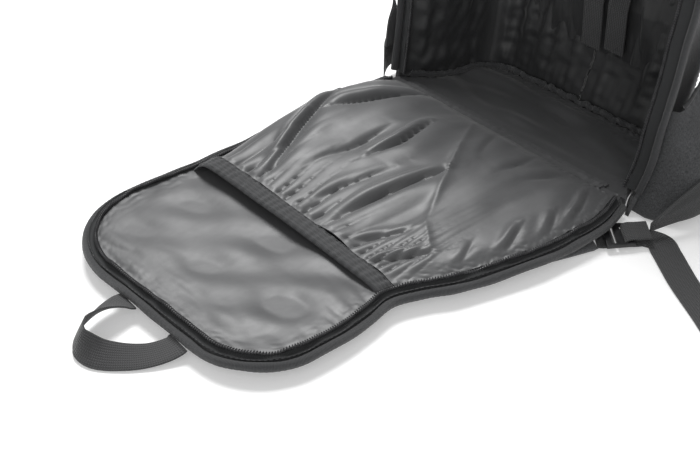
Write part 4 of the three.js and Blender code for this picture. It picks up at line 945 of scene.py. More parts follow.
def make_zipper():
    """Bound edges, tapes and coils: round the body's rim, and round the panel."""
    inset = WALL_THICK / 2 - RIM_OVERHANG
    reach = BINDING_DIAMETER / 2
    path = rim_path(inset, reach + 2 * CLEAR)
    run = np.arange(len(path)) * PATH_GAP
    first, second = frames(path, (0, 1, 0))
    swell = 1 + 0.035 * ripple(run, 0 * run, 40, 81) + 0.02 * np.sin(run * 2 * np.pi / 5.1)
    outline = circle(BINDING_DIAMETER, BINDING_DIAMETER * 0.97, 14, swell)
    mesh = sweep(path, first, second, outline)
    add_piece("body_rim_edge", mesh, look("binding"), ["body_rim_binding"])
    tape_inset = inset + reach + 2 * CLEAR
    across = steps(0, 1, 6)[None]
    share = rim_shares(420)[:, None]
    wave = 0.5 * ripple(share * arch_length(), across * 3, 26, 82) * across
    faces = []
    for face in (0, 1):
        x, height = arch_point(share, tape_inset + across * TAPE_WIDTH * TAPE_SLOPE + face * 0.7)
        forward = RIM_OVERHANG + across * TAPE_WIDTH * (1 - TAPE_SLOPE) + (1 - face) + wave
        faces.append(settle(x, -forward, height))
    add_piece("body_zipper_tape_cloth", shell(*faces), look("tape"), ["body_zipper_tape"])
    chain_inset = tape_inset + TAPE_WIDTH * TAPE_SLOPE + (CHAIN_DIAMETER + TAPE_THICK) / 2 + CLEAR - 0.8
    path = rim_path(chain_inset, RIM_OVERHANG + TAPE_WIDTH * (1 - TAPE_SLOPE) + TAPE_THICK / 2)
    mesh = chain(path, (0, 1, 0))
    add_piece("body_zipper_coil", mesh, look("coil"), ["body_zipper_chain"])

    height = PANEL_TOP - PANEL_THICK / 2
    path = panel_edge(-reach - BINDING_STAND, height + 1)
    run = np.arange(len(path)) * PATH_GAP
    path[:, 2] += 0.8 * ripple(run, 0 * run, 60, 83)
    first, second = frames(path, (0, 0, 1))
    swell = 1 + 0.05 * ripple(run, 0 * run, 34, 84) + 0.025 * np.sin(run * 2 * np.pi / 4.7)
    outline = circle(BINDING_DIAMETER, BINDING_DIAMETER * 1.2, 16, swell)
    mesh = sweep(path, first, second, outline)
    add_piece("panel_edge_binding", mesh, look("binding"), ["panel_binding"])
    outer = panel_edge(-BINDING_STAND - 1, 0, TAPE_GAP)
    inner = panel_edge(ZIP_INSET + CHAIN_DIAMETER - 1, 0, TAPE_GAP)
    inner = resample(inner, np.linspace(0, 1, len(inner)), np.linspace(0, 1, len(outer)))
    across = steps(0, 1, 7)[None, :, None]
    tape = mix(outer[:, None], inner[:, None], across)
    run = np.arange(len(outer))[:, None] * TAPE_GAP
    dip = 2.4 * np.sin(np.pi * across[..., 0] ** 0.7) + 0.5 * ripple(run, across[..., 0] * 4, 22, 85)
    tape[..., 2] = LINING_TOP + 0.9 - dip + 1.1 * across[..., 0]
    add_piece("panel_zipper_tape", cloth(tape, 0.7), look("tape"))
    path = panel_edge(ZIP_INSET + CHAIN_DIAMETER / 2, LINING_TOP + 1.2 + CHAIN_DIAMETER / 2)
    path[:, 2] += 0.9 * ripple(np.arange(len(path)) * PATH_GAP, 0, 26, 86)
    mesh = chain(path, (0, 0, 1))
    add_piece("panel_zipper_coil", mesh, look("coil"), ["panel_zipper_chain"])


# The opened panel


def edge_distance(across, along, inset):
    """Distance of a place on the panel from its edge."""
    half = panel_half(along, inset, across)
    return np.minimum((1 - np.abs(across)) * half, PANEL_LENGTH - inset - along)


def make_panel():
    """Padded back panel with round edges, its lining, and the strip over the hinge."""
    rows = panel_rows(0, 60, 40)
    across = eased(90)[None]
    edge = edge_distance(across, rows, 0)
    radius = PANEL_THICK / 2
    thick = radius * np.sqrt(1 - (1 - np.clip(edge / radius, 0, 1)) ** 2)
    thick = np.maximum(thick, 0.4)
    middle = PANEL_FOOT + radius
    flat = panel_place(across, rows, 0, 0 * rows)
    sag = 0.5 * (1 + ripple(flat[..., 0], flat[..., 1], 60, 91)) * rise(edge, 0, 20)
    lower, upper = flat.copy(), flat.copy()
    lower[..., 2] = middle - thick + np.minimum(sag, 1.4) * 0.5
    upper[..., 2] = middle + thick - sag * 0.4
    mesh = shell(lower, upper)
    piece = add_piece("back_panel_pad", mesh, look("melange"), ["back_panel"], merge=True)

    rows = panel_rows(ZIP_INSET, 130, 50)
    across = eased(130, 0.98)[None]
    edge = edge_distance(across, rows, ZIP_INSET)
    flat = panel_place(across, rows, ZIP_INSET, 0 * rows)
    x, y = flat[..., 0], flat[..., 1]
    open_part = rise(rows, SLEEVE_LENGTH - 8, SLEEVE_LENGTH + 30)
    waves = (1.5 + 1.3 * ripple(x * 0.6 + y * 0.5, y - x * 0.5, 62, 92)) * rise(edge, 4, 34) * open_part
    strain = 1.3 * np.abs(ripple(x * 0.3 + y * 0.2, y, 24, 93)) * rise(edge, 3, 12)
    strain = strain * np.exp(-edge / 34) * open_part
    pucker = 0.8 * np.abs(ripple(x, y, 10, 94)) * np.exp(-np.maximum(edge - 3, 0) / 9)
    upper = flat.copy()
    upper[..., 2] = LINING_TOP + np.maximum(waves, 0) + strain + pucker * rise(edge, 0, 3)
    lower = upper.copy()
    lower[..., 2] = np.maximum(upper[..., 2] - 1, PANEL_TOP + CLEAR * 0.5)
    mesh = shell(lower, upper)
    piece = add_piece("panel_lining_cloth", mesh, look("satin"), ["panel_lining"], merge=True)

    half = BODY_WIDTH / 2 - HINGE_STRIP_INSET
    floor_top = BASE_THICK + HINGE_RISE + CLEAR + LINING_THICK
    back = np.array([HINGE_REACH, HINGE_REACH / 4, CLEAR, LINING_GAP - HINGE_REACH])
    level = np.array([floor_top + CLEAR, floor_top + 2 * CLEAR, LINING_TOP + CLEAR, LINING_TOP + CLEAR])
    share = steps(0, 3, 18)
    across = steps(-1, 1, 150)[None]
    y = HINGE_Y + np.interp(share, range(4), back)[:, None]
    z = np.interp(share, range(4), level)[:, None] + 1
    x = across * half + 0 * y
    grid = np.stack(np.broadcast_arrays(x, y, z + 0.5 * np.abs(ripple(x, y * 0.4, 11, 95))), -1)
    piece = add_piece("hinge_strip", cloth(grid[::-1], 1.0), look("satin"), ["hinge_binding"])


# The laptop sleeve


def crease_lift(x, along, points, depth, wide, bank):
    """Height that a crease adds: a valley along a bent line, with soft ridges beside it, the
    left one higher by the bank. It fades out at both ends."""
    start, middle, end = (np.array(point, float) for point in points)
    place = np.stack([x, along], -1)
    share = np.zeros_like(x)
    off = np.full_like(x, 1e9)
    lengths = [np.linalg.norm(middle - start), np.linalg.norm(end - middle)]
    done = 0
    for base, tip, length in ((start, middle, lengths[0]), (middle, end, lengths[1])):
        line = (tip - base) / length
        reach = np.clip((place - base) @ line, 0, length)
        gap = place - base - reach[..., None] * line
        side = np.sign(gap[..., 0] * line[1] - gap[..., 1] * line[0])
        far = np.linalg.norm(gap, axis=-1)
        nearer = far < np.abs(off)
        off = np.where(nearer, far * np.where(side == 0, 1, side), off)
        share = np.where(nearer, (done + reach) / sum(lengths), share)
        done += length
    fade = np.sin(np.pi * np.clip(share * 0.9 + 0.05, 0, 1)) ** 0.7
    off = off * np.sign(end[1] - start[1] if end[1] != start[1] else 1)
    if depth < 0:
        return -depth * np.exp(-np.abs(off) / wide) * fade
    reach = np.where(off < 0, 0.4, 0.9) * wide
    valley = -depth * np.exp(-(np.abs(off) / reach) ** 1.2)
    left = depth * (0.4 + bank * 0.5) * np.exp(-(((off + 1.3 * wide) / (1.2 * wide)) ** 2))
    right = depth * 0.3 * np.exp(-(((off - 3 * wide) / (2.2 * wide)) ** 2))
    return (valley + left + right) * fade


def pleat_lift(x, along):
    """Gathers at the mouth: rounded ridges with sharp valleys at the pleat places, which die
    out away from the band, and finer ones close to it."""
    sway = x - (SLEEVE_LENGTH - along) * 0.12 * np.sin(x / 31)
    phase = np.interp(sway, PLEAT_PLACES, range(len(PLEAT_PLACES)))
    height = np.abs(np.sin(np.pi * phase)) ** 0.6 - 0.75
    random = np.random.default_rng(7).uniform(0.45, 1.25, len(PLEAT_PLACES) + 1)
    strength = random[np.clip(phase.astype(int), 0, len(random) - 1)]
    from_band = np.maximum(SLEEVE_LENGTH - along, 0)
    swell = rise(from_band, 0, 5) * np.exp(-from_band / (17 + 14 * strength))
    fine = (np.abs(np.sin(np.pi * phase * 2.6 + 0.6)) - 0.6) * np.exp(-from_band / 5) * 0.8
    return 5.2 * strength * height * swell + fine * rise(from_band, 0, 3)


def sleeve_lift(across, along):
    """Height of the sleeve over the panel: its fullness, its creases, its gathers and soft
    waves. along runs from 0 at the hinge to 1 at the band."""
    far = HINGE_REACH + along * (SLEEVE_LENGTH - HINGE_REACH)
    x = panel_place(across, far, SLEEVE_INSET, 0)[..., 0]
    side = read(SLEEVE_ACROSS, "across", across, "rise")
    base = SLEEVE_RISE * side * read(SLEEVE_ALONG, "along", along, "rise")
    full = rise(base, 1, 9)
    total = 0
    for *points, depth, wide, bank in SLEEVE_CREASES:
        total = total + crease_lift(x, far, points, depth, wide, bank)
    total = total + pleat_lift(x, far)
    total = total + 1.2 * ripple(x, far * 0.5, 52, 101) + 0.25 * ripple(x, far * 0.4, 19, 102)
    edge = (1 - np.abs(across)) * 150
    seam = 0.9 * np.abs(ripple(x, far, 9, 103)) * np.exp(-np.minimum(edge, far - HINGE_REACH) / 6)
    return np.maximum(base * SLEEVE_EASE + CREASE_STRENGTH * total * full + seam, 0.3)


def sleeve_place(across, along, lift):
    far = HINGE_REACH + along * (SLEEVE_LENGTH - HINGE_REACH)
    return panel_place(across, far, SLEEVE_INSET, LINING_TOP + CLEAR + lift)


def band_base(across, share):
    """Height of the band's lower face, from the mouth of the sleeve to its free edge."""
    side = read(SLEEVE_ACROSS, "across", across, "rise")
    mouth = SLEEVE_RISE * side * read(SLEEVE_ALONG, "along", 1.0, "rise") * SLEEVE_EASE
    return mouth * (1 - BAND_DROP * share)


def make_sleeve():
    """Gathered laptop sleeve, hollow and open at the mouth, and the elastic band of its mouth."""
    across = eased(200, SLEEVE_SPACING)[None]
    along = steps(0, 1, 156)[:, None]
    lift = sleeve_lift(across + 0 * along, along + 0 * across)
    upper = sleeve_place(across + 0 * along, along, lift + 1)
    lower = sleeve_place(across + 0 * along, along, lift)
    mesh = shell(lower, upper)
    piece = add_piece("laptop_sleeve_cloth", mesh, look("satin"), ["laptop_sleeve"])
    start = 1 + CLEAR / SLEEVE_LENGTH
    share = steps(0, 1, 16)
    along = (start + share * BAND_WIDTH / SLEEVE_LENGTH)[:, None]
    base = band_base(across, share[:, None])
    x = panel_place(across, along * SLEEVE_LENGTH, SLEEVE_INSET, 0)[..., 0]
    roll = 2.4 * np.sqrt(np.maximum(1 - (2 * share - 1) ** 8, 0))[:, None]
    rib = 0.25 * np.sin(share * 2 * np.pi * 5)[:, None] + 0.3 * ripple(x, share[:, None] * 8, 7, 111)
    upper = sleeve_place(across + 0 * along, along, base + np.maximum(roll + rib, 0.2))
    lower = sleeve_place(across + 0 * along, along, base)
    add_piece("sleeve_elastic", shell(lower, upper), look("binding"), ["sleeve_band"])


# Webbing, straps and buckles


def webbing(points, width, count, turn=None):
    """Flat webbing along a smooth curve through the points, leaned about its own length."""
    path = smooth_path(points, count)
    along = tangents(path)
    across = unit(np.stack([along[:, 1], -along[:, 0], 0 * along[:, 0]], -1))
    normal = unit(np.cross(across, along))
    if turn is not None:
        place = steps(0, 1, count) * (len(points) - 1)
        angle = np.radians(np.interp(place, range(len(points)), turn))[:, None]
        across, normal = (
            across * np.cos(angle) + np.cross(along, across) * np.sin(angle),
            normal * np.cos(angle) + np.cross(along, normal) * np.sin(angle),
        )
    return sweep(path, across, normal, band_outline(width, WEBBING_THICK))


def make_handle():
    """Grab handle: a loop of webbing that stands on its edge at the far end."""
    route = {key: np.array(column, float) for key, column in HANDLE_ROUTE.items()}
    tip = BINDING_DIAMETER + BINDING_STAND + CLEAR + HANDLE_ROOT
    points = np.stack([
        -PANEL_LENGTH * PANEL_SKEW + route["beside"] * PANEL_WIDTH,
        HINGE_Y - PANEL_LENGTH - tip - np.maximum(route["beyond"], 0) * PANEL_WIDTH,
        route["height"],
    ], -1)
    mesh = webbing(points, HANDLE_WIDTH, 200, route["turn"])
    add_piece("grab_handle_webbing", mesh, look("webbing"), ["grab_handle"])


def rim_foot(side):
    return side * BODY_WIDTH / 2


def lock_point(side, along, height):
    turn = np.radians(LOCK_TURN[side])
    along = np.asarray(along, float)
    x = rim_foot(side) + side * (LOCK_OUT[side] + along * np.sin(turn))
    return np.stack(np.broadcast_arrays(x, HINGE_Y + LOCK_BACK[side] + along * np.cos(turn), height), -1)


def make_locks():
    """Ladder locks: the solid's own frame and bars, with its edges rounded."""
    for name in ("ladder_lock_left", "ladder_lock_right"):
        data = bpy.data.objects[name].data.copy()
        build = bmesh.new()
        build.from_mesh(data)
        bmesh.ops.remove_doubles(build, verts=build.verts, dist=1e-5)
        bmesh.ops.dissolve_limit(build, angle_limit=0.02, verts=build.verts, edges=build.edges)
        sharp = [edge for edge in build.edges if edge.calc_face_angle(0) > 0.5]
        bmesh.ops.bevel(build, geom=sharp, offset=0.0006, segments=3, affect="EDGES", profile=0.6)
        bmesh.ops.triangulate(build, faces=build.faces)
        build.to_mesh(data)
        build.free()
        data.materials.clear()
        data.materials.append(look("plastic"))
        data.shade_smooth()
        data.set_sharp_from_angle(angle=np.radians(35))
        piece = bpy.data.objects.new(name + "_moulded", data)
        bpy.context.scene.collection.objects.link(piece)
        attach(piece, "root")
        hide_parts(name)


def make_webbing():
    """Webbing at the hinge corners: the anchors, the loops of the straps and the loose tails."""
    for name, side, route in (
        ("anchor_webbing_left", -1, ANCHOR_ROUTE[-1]),
        ("anchor_webbing_right", 1, ANCHOR_ROUTE[1]),
        ("strap_loop_left", -1, LOOP_ROUTE),
        ("strap_loop_right", 1, LOOP_ROUTE),
        ("strap_tail_left", -1, TAIL_ROUTE_LEFT),
    ):
        points = lock_point(side, np.array(route["along"]), LOCK_BASE + np.array(route["over"]))
        mesh = webbing(points, WEBBING_WIDTH - 1, 60)
        add_piece(name + "_woven", mesh, look("webbing"), [name])
    threaded = lock_point(1, np.array(TAIL_UNDER_LOCK), LOCK_BASE - 2 * CLEAR - WEBBING_THICK / 2)
    laid = np.stack([
        rim_foot(1) + np.array(TAIL_ROUTE_RIGHT["out"]) * TAIL_LENGTH,
        HINGE_Y + np.array(TAIL_ROUTE_RIGHT["back"]) * TAIL_LENGTH,
        np.array(TAIL_ROUTE_RIGHT["height"]),
    ], -1)
    mesh = webbing(np.concatenate([threaded, laid]), WEBBING_WIDTH - 1, 260)
    add_piece("strap_tail_right_woven", mesh, look("webbing"), ["strap_tail_right"])


def make_side_webbing():
    """Webbing beside the left rim: it hangs free below and is sewn on the side wall above."""
    run = steps(0, 1, 130)[:, None]
    reach = steps(-0.5, 0.5, 14)[None] * SIDE_WEBBING_WIDTH
    height, out, back, facing = (
        read(SIDE_WEBBING_ROUTE, "run", run, key) for key in ("height", "out", "back", "facing")
    )
    facing = np.radians(facing)
    share = rise(run, SIDE_WEBBING_SEWN, 1)[..., None]
    faces = []
    for face in (0, 1):
        off = face * WEBBING_THICK
        free = np.stack(np.broadcast_arrays(
            rim_foot(-1) - out + reach * np.cos(facing) - off * np.sin(facing),
            HINGE_Y + back + reach * np.sin(facing) + off * np.cos(facing),
            height,
        ), -1)
        sewn = settle(rim_foot(-1), SIDE_WEBBING_WIDTH + reach + 0 * height, height)
        sewn[..., 0] -= 2 * CLEAR + off
        faces.append(mix(free, sewn, share))
    mesh = shell(*faces)
    add_piece("side_webbing_left_woven", mesh, look("webbing"), ["side_webbing_left"])


def make_shoulder_straps():
    """Shoulder straps under the panel: an S-shaped pad, crowned and round at its edges."""
    run = steps(0, 1, 90)[:, None]
    across = eased(20)[None]
    for side, word in ((-1, "left"), (1, "right")):
        def centre(at):
            out = read(STRAP_LINE, "run", at, word) * PANEL_WIDTH / 2 * side
            return np.stack([out, read(STRAP_LINE, "run", at, "along") * PANEL_LENGTH], -1)
        line = unit(centre(np.minimum(run + 0.02, 1)) - centre(np.maximum(run - 0.02, 0)))
        half = read(STRAP_LINE, "run", run, "half") * PANEL_WIDTH / 2
        flat = centre(run) + np.stack([-line[..., 1], line[..., 0]], -1) * (across * half)[..., None]
        edge = np.minimum((1 - np.abs(across)) * half, np.minimum(run, 1 - run) * STRAP_RUN)
        thick = STRAP_THICK / 2 * np.sqrt(1 - (1 - np.clip(edge / STRAP_ROUND, 0, 1)) ** 2)
        faces = []
        for sign in (-1, 1):
            height = STRAP_THICK / 2 + sign * np.maximum(thick, 0.3)
            faces.append(np.stack(np.broadcast_arrays(
                flat[..., 0] - flat[..., 1] * PANEL_SKEW, HINGE_Y - flat[..., 1], height), -1))
        name = "shoulder_strap_" + word
        piece = add_piece(name + "_pad", shell(*faces), look("melange"), [name], merge=True)


# Side pockets and wings


def pocket_skin(side, run, climb):
    splay = SPLAY_LEFT if side < 0 else SPLAY_RIGHT
    fullness = np.sin(np.pi * run) ** POCKET_FULLNESS
    out = read(POCKET_SECTION, "run", climb, "left" if side < 0 else "right") * splay * fullness
    height = read(POCKET_SECTION, "run", climb, "up") * mix(POCKET_LOW, POCKET_HIGH, run) + POCKET_FOOT
    depth = mix(POCKET_FROM[side], BODY_DEPTH - FRONT_FILLET + 2 * POCKET_FROM[1], run)
    wall = settle(side * BODY_WIDTH / 2, depth, height)
    wall[..., 0] += side * (2 * LINING_GAP + CLEAR + out)
    return wall


def pocket_place(side, run, climb, off):
    """Point at a distance off the pocket's inner face, square to it."""
    run, climb = matched(run, climb)
    near = 0.02
    low, high = (lambda value: np.maximum(value - near, 0)), (lambda value: np.minimum(value + near, 1))
    body = pocket_skin(side, high(run), climb) - pocket_skin(side, low(run), climb)
    section = pocket_skin(side, run, high(climb)) - pocket_skin(side, run, low(climb))
    return pocket_skin(side, run, climb) + side * unit(np.cross(body, section)) * np.asarray(off)[..., None]


def make_pockets():
    """Side pockets with slack folds and a bound, slightly gathered mouth."""
    for side, word in ((-1, "left"), (1, "right")):
        run = steps(0, 1, 60)[None]
        climb = steps(0, 1, 90)[:, None]
        slack = rise(climb, 0.16, 0.3) * (1 - rise(climb, 0.85, 1)) * rise(np.minimum(run, 1 - run), 0, 0.2)
        folds = slack * 0.8 * (1 + ripple(run * 80, climb * 40, 34, 121 + side))
        gather = 0.5 * (1 + np.sin(run * 2 * np.pi * 13)) * rise(climb, 0.86, 1)
        lift = folds + gather * rise(np.minimum(run, 1 - run), 0, 0.1)
        outer = pocket_place(side, run, climb, POCKET_THICK + 0 * lift + lift * 0.6)
        inner = pocket_place(side, run, climb, lift * 0.6)
        name = "side_pocket_" + word
        piece = add_piece(name + "_cloth", shell(inner, outer), look("melange"), [name])
        kept = steps(POCKET_BOUND, 1 - POCKET_BOUND, 160)
        path = pocket_place(side, kept, 1.0, POCKET_THICK / 2)
        path[:, 2] += POCKET_BINDING / 2 + 2 * CLEAR
        path = spaced(path, 1)
        first, second = frames(path, (0, 0, 1))
        at = np.arange(len(path))
        swell = 1 + 0.1 * np.sin(at * 2 * np.pi / 6.3) + 0.05 * ripple(at, 0 * at, 9, 125)
        mesh = sweep(path, first, second, circle(3.4, POCKET_BINDING, 10, swell))
        nodes = ["side_pocket_binding_" + word]
        add_piece("side_pocket_mouth_" + word, mesh, look("binding"), nodes)


def make_wings():
    """Wings: cloth from the end of the anchor webbing to the outside of the side pocket."""
    for side, word in ((-1, "left"), (1, "right")):
        climb = steps(WING_LOW, WING_HIGH, 26)[:, None]
        run = np.concatenate([steps(-1, 0, 30)[:-1], steps(WING_START, 1, 50)])[None]
        off = POCKET_THICK + 2 * CLEAR + WING_OFF
        laid = pocket_place(side, np.maximum(run, WING_START), climb, off + 0 * run + 0 * climb)
        if side < 0:
            height = WING_FOOT_LEFT + (climb - WING_LOW) / (WING_HIGH - WING_LOW) * WING_HEIGHT_LEFT
            near = np.stack(np.broadcast_arrays(rim_foot(-1) - WING_OUT_LEFT, HINGE_Y - 1, height), -1)
        else:
            height = LOCK_BASE + WING_LIFT + (climb - WING_LOW) * WEBBING_WIDTH
            near = lock_point(side, WING_NEAR + 0 * climb, height)
        share = np.clip(1 + run, 0, 1)[..., None]
        grid = np.where(run[..., None] < 0, mix(near, laid, share), laid)
        free = np.clip(1 + run, 0, 1)
        pull = 0.7 * np.sin(np.pi * free) * ripple(climb * 90, run * 6, 16, 131)
        pull = pull + (4 * WING_BULGE_LEFT * free * (1 - free) if side < 0 else 0)
        grid[..., 0] += side * np.where(run < 0, pull, 0)
        outer = grid.copy()
        outer[..., 0] += side * WING_THICK
        mesh = shell(grid, outer)
        add_piece("anchor_wing_" + word + "_cloth", mesh, look("wing"), ["anchor_wing_" + word])


# Inside of the front wall


def inner_wall(across, height, off):
    flat = BODY_WIDTH / 2 - FRONT_FILLET
    reach = np.abs(across)
    stand = INSIDE + off
    turn = np.pi / 2 - np.maximum(reach - flat, 0) / (FRONT_FILLET - stand)
    inset = FRONT_FILLET - (FRONT_FILLET - stand) * np.cos(turn)
    depth = BODY_DEPTH - FRONT_FILLET + (FRONT_FILLET - stand) * np.sin(turn)
    x = np.where(reach <= flat, across, np.sign(across) * (BODY_WIDTH / 2 - inset))
    return settle(x, np.where(reach <= flat, BODY_DEPTH - stand, depth), height)


def pocket_stand(across, height):
    beside = np.clip(2 * across / INNER_POCKET_WIDTH, -1, 1)
    up = np.clip((height - INNER_POCKET_FOOT) / INNER_POCKET_HEIGHT, 0, 1)
    full = np.sqrt(1 - beside**2) * np.minimum(up * INNER_POCKET_FLARE, 1)
    return LINING_GAP + INNER_POCKET_BULGE * full * (1 - INNER_POCKET_DRAW * up)


def make_inner_pocket():
    """Pocket on the inside of the front wall, gathered along its bottom seam, and two straps."""
    top = INNER_POCKET_FOOT + INNER_POCKET_HEIGHT
    half = INNER_POCKET_WIDTH / 2
    across, height = steps(-half, half, 150)[None], steps(INNER_POCKET_FOOT, top, 90)[:, None]
    up = (height - INNER_POCKET_FOOT) / INNER_POCKET_HEIGHT
    gather = 2.2 * np.abs(ripple(across, height * 0.12, 13, 141)) * np.exp(-up * 5)
    folds = 2.4 * (0.4 + ripple(across, height * 0.25, 30, 142)) * rise(up, 0, 0.25)
    side = rise(half - np.abs(across), 0, 14)
    stand = pocket_stand(across, height) + np.maximum(gather + folds, 0) * side * (1 - 0.6 * rise(up, 0.9, 1))
    mesh = shell(inner_wall(across, height, stand), inner_wall(across, height, stand + 1))
    piece = add_piece("inner_pocket_cloth", mesh, look("inner"), ["inner_pocket"])
    roll = steps(-half + 2, half - 2, 160)
    path = spaced(inner_wall(roll, top + 1 + 0 * roll, pocket_stand(roll, top + 0 * roll) + 1), 1.4)
    first, second = frames(path, (0, 0, 1))
    mesh = sweep(path, first, second, circle(2.4, 7, 10))
    add_piece("inner_pocket_hem", mesh, look("binding"))
    landing = top + INNER_STRAP_DROP
    for word, (middle, lift) in INNER_STRAPS.items():
        foot = INNER_POCKET_FOOT + lift
        height = steps(foot, foot + INNER_STRAP_LENGTH, 120)
        over = pocket_stand(middle, height) + POCKET_THICK + 2 * LINING_GAP + 3
        stand = mix(over, 3.5, rise(height, landing - 10, landing + 14))
        path = inner_wall(middle + 0 * height, height, stand)
        across = np.tile([[1.0, 0, 0]], (len(path), 1))
        normal = unit(np.cross(across, tangents(path)))
        mesh = sweep(path, across, normal, band_outline(INNER_STRAP_WIDTH, WEBBING_THICK))
        name = "inner_strap_" + word
        add_piece(name + "_woven", mesh, look("webbing"), [name])


# Stitching


def make_stitching():
    """Rows of stitches along the panel's binding, the sleeve's band and the seams of the walls."""
    upright = (0, 0, 1)
    total = stitches(panel_edge(-1.8, PANEL_TOP + 2.1), upright)
    across = eased(160, SLEEVE_SPACING) * 0.97
    for share in (0.1, 0.86):
        along = 1 + (CLEAR + share * BAND_WIDTH) / SLEEVE_LENGTH + 0 * across
        path = sleeve_place(across, along, band_base(across, share) + 2.35)
        total = total + stitches(path, upright)
    share = steps(0.002, 0.998, 700)
    for wall, run in ((gusset_point, 0.955), (gusset_point, 0.05), (front_point, 0.955)):
        path = wall(share, run, STITCH_OFF)
        total = total + stitches(path, unit(path - wall(share, run, STITCH_BACK)))
    add_piece("seam_stitching", total, look("thread"))


# Sidebar, operators and stage


def base_colour(name, text, default):
    return FloatVectorProperty(name=name, description=text, subtype="COLOR", default=default)


class BackpackColours(bpy.types.PropertyGroup):
    """Base colours of the finishes."""

    melange: base_colour("Mélange cloth", "Outer cloth", (0.052, 0.053, 0.055))
    satin: base_colour("Lining", "Satin lining and sleeve", (0.078, 0.079, 0.081))
    # inner: the satin lining's colour made far darker, painted shade for the inside of the compartment
    inner: base_colour("Inner lining", "Lining of the main compartment", (0.028, 0.0285, 0.0295))
    wing: base_colour("Wing cloth", "Cloth of the anchor wings", (0.05, 0.051, 0.052))
    webbing: base_colour("Webbing", "Handle, tails and straps", (0.048, 0.0485, 0.05))
    binding: base_colour("Binding", "Seam and edge bindings", (0.04, 0.041, 0.043))
    zipper: base_colour("Zipper tape", "Woven tapes", (0.03, 0.031, 0.032))
    coil: base_colour("Zipper coil", "Nylon coils", (0.03, 0.03, 0.032))
    plastic: base_colour("Plastic", "Ladder locks", (0.012, 0.012, 0.013))
    thread: base_colour("Thread", "Sewing thread", (0.06, 0.061, 0.063))


class BackpackStudio(bpy.types.PropertyGroup):
    """Camera and light."""

    lens: FloatProperty(name="Lens", description="Focal length on a 36 mm wide film, in mm", default=78.68)
    camera: FloatVectorProperty(
        name="Camera", description="Place of the camera", subtype="XYZ", unit="LENGTH",
        default=(0.84353, -1.00026, 0.7852),
    )
    azimuth: FloatProperty(
        name="Azimuth", description="Turn of the camera about the vertical", unit="ROTATION",
        default=np.radians(48.36),
    )
    elevation: FloatProperty(
        name="Elevation", description="Tilt of the camera below the horizon", unit="ROTATION",
        default=np.radians(35.16),
    )
    sky: FloatProperty(name="Sky", description="Strength of the white surroundings", default=0.34)
    key: FloatProperty(name="Key light", description="Strength of the soft box", unit="POWER", default=95)


def make_stage():
    """White floor, soft box and camera at the photograph's angle."""
    studio = bpy.context.scene.backpack_studio
    floor = bpy.data.meshes.new("floor")
    corners = [(-9, -9, -0.0004), (9, -9, -0.0004), (9, 9, -0.0004), (-9, 9, -0.0004)]
    floor.from_pydata(corners, [], [(0, 1, 2, 3)])
    glow = {"Emission_Color": (1, 1, 1, 1), "Emission_Strength": 0.3}
    paper = Look("white_paper", 0.9, Specular_IOR_Level=0.1, **glow)
    grain = paper.noise(paper.place(), 700)
    paper.feed("Base Color", paper.blend(grain.between(0.2, 0.8), (0.76, 0.76, 0.76), (0.78, 0.78, 0.78)))
    floor.materials.append(paper.material)
    ground = bpy.data.objects.new("floor", floor)
    bpy.context.scene.collection.objects.link(ground)
    world = bpy.data.worlds.new("white_surroundings")
    world.use_nodes = True
    backdrop = world.node_tree.nodes["Background"]
    backdrop.inputs["Color"].default_value = (1, 1, 1, 1)
    backdrop.inputs["Strength"].default_value = studio.sky
    bpy.context.scene.world = world
    for name, place, size, share in (
        ("key_light", (-1.1, 0.5, 2.4), 1.2, 1.0),
        ("fill_light", (1.4, -1.8, 1.4), 2.0, 0.2),
    ):
        lamp = bpy.data.lights.new(name, "AREA")
        lamp.energy, lamp.size, lamp.shape = studio.key * share, size, "SQUARE"
        holder = bpy.data.objects.new(name, lamp)
        holder.location = place
        holder.rotation_euler = (Vector((0, -0.2, 0.1)) - Vector(place)).to_track_quat("-Z", "Y").to_euler()
        bpy.context.scene.collection.objects.link(holder)
    data = bpy.data.cameras.new("camera")
    data.lens, data.sensor_width, data.sensor_fit = studio.lens, 36, "HORIZONTAL"
    data.clip_start, data.clip_end = 0.05, 50
    camera = bpy.data.objects.new("camera", data)
    turn, tilt = studio.azimuth, studio.elevation
    aim = Vector((-np.sin(turn) * np.cos(tilt), np.cos(turn) * np.cos(tilt), -np.sin(tilt)))
    camera.location = studio.camera
    camera.rotation_euler = aim.to_track_quat("-Z", "Y").to_euler()
    bpy.context.scene.collection.objects.link(camera)
    bpy.context.scene.camera = camera
    bpy.context.scene.view_settings.view_transform = "Standard"


def operator(name, label, text, *makers):
    """An operator class that runs the given functions in order."""

    def execute(self, context):
        for maker in makers:
            maker()
        return {"FINISHED"}

    body = {"bl_idname": "backpack." + name, "bl_label": label, "__doc__": text, "execute": execute}
    return type("BACKPACK_OT_" + name, (bpy.types.Operator,), body)


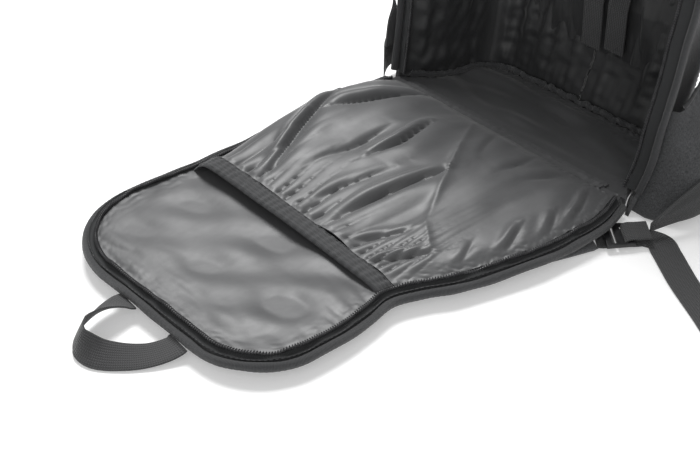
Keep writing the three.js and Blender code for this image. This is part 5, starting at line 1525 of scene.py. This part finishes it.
OPERATORS = [
    operator("body", "Body", "Make the outer walls and the padded base", make_walls, make_base),
    operator("lining", "Lining", "Make the linings and the ruffled floor seam", make_linings, make_floor),
    operator("panel", "Panel", "Make the padded back panel, its lining and the hinge strip", make_panel),
    operator("zipper", "Zipper", "Make the bound edges, the tapes and the coils", make_zipper),
    operator("sleeve", "Sleeve", "Make the gathered laptop sleeve and its band", make_sleeve),
    operator("handle", "Handle", "Make the grab handle", make_handle),
    operator("straps", "Straps", "Make the straps, the webbing and the ladder locks",
             make_shoulder_straps, make_webbing, make_side_webbing, make_locks),
    operator("pockets", "Pockets", "Make the side pockets and the wings", make_pockets, make_wings),
    operator("inside", "Inside", "Make the inner pocket and its straps", make_inner_pocket),
    operator("stitching", "Stitching", "Make the rows of stitches", make_stitching),
    operator("stage", "Stage", "Make the floor, the lights and the camera", make_stage),
]


class BACKPACK_PT_sidebar(bpy.types.Panel):
    """Buttons for the pieces and settings for their finishes."""

    bl_idname, bl_label = "BACKPACK_PT_sidebar", "Backpack"
    bl_space_type, bl_region_type, bl_category = "VIEW_3D", "UI", "Backpack"

    def draw(self, context):
        for kind in OPERATORS:
            self.layout.operator(kind.bl_idname)
        for group in (context.scene.backpack_colours, context.scene.backpack_studio):
            for name in group.__annotations__:
                self.layout.prop(group, name)


CLASSES = [BackpackColours, BackpackStudio, *OPERATORS, BACKPACK_PT_sidebar]


def register():
    for kind in CLASSES:
        bpy.utils.register_class(kind)
    bpy.types.Scene.backpack_colours = PointerProperty(type=BackpackColours)
    bpy.types.Scene.backpack_studio = PointerProperty(type=BackpackStudio)


def unregister():
    del bpy.types.Scene.backpack_studio
    del bpy.types.Scene.backpack_colours
    for kind in reversed(CLASSES):
        bpy.utils.unregister_class(kind)


def main():
    register()
    bpy.ops.backpack.body()
    bpy.ops.backpack.lining()
    bpy.ops.backpack.panel()
    bpy.ops.backpack.zipper()
    bpy.ops.backpack.sleeve()
    bpy.ops.backpack.handle()
    bpy.ops.backpack.straps()
    bpy.ops.backpack.pockets()
    bpy.ops.backpack.inside()
    bpy.ops.backpack.stitching()
    bpy.ops.backpack.stage()


if __name__ == "__main__":
    main()
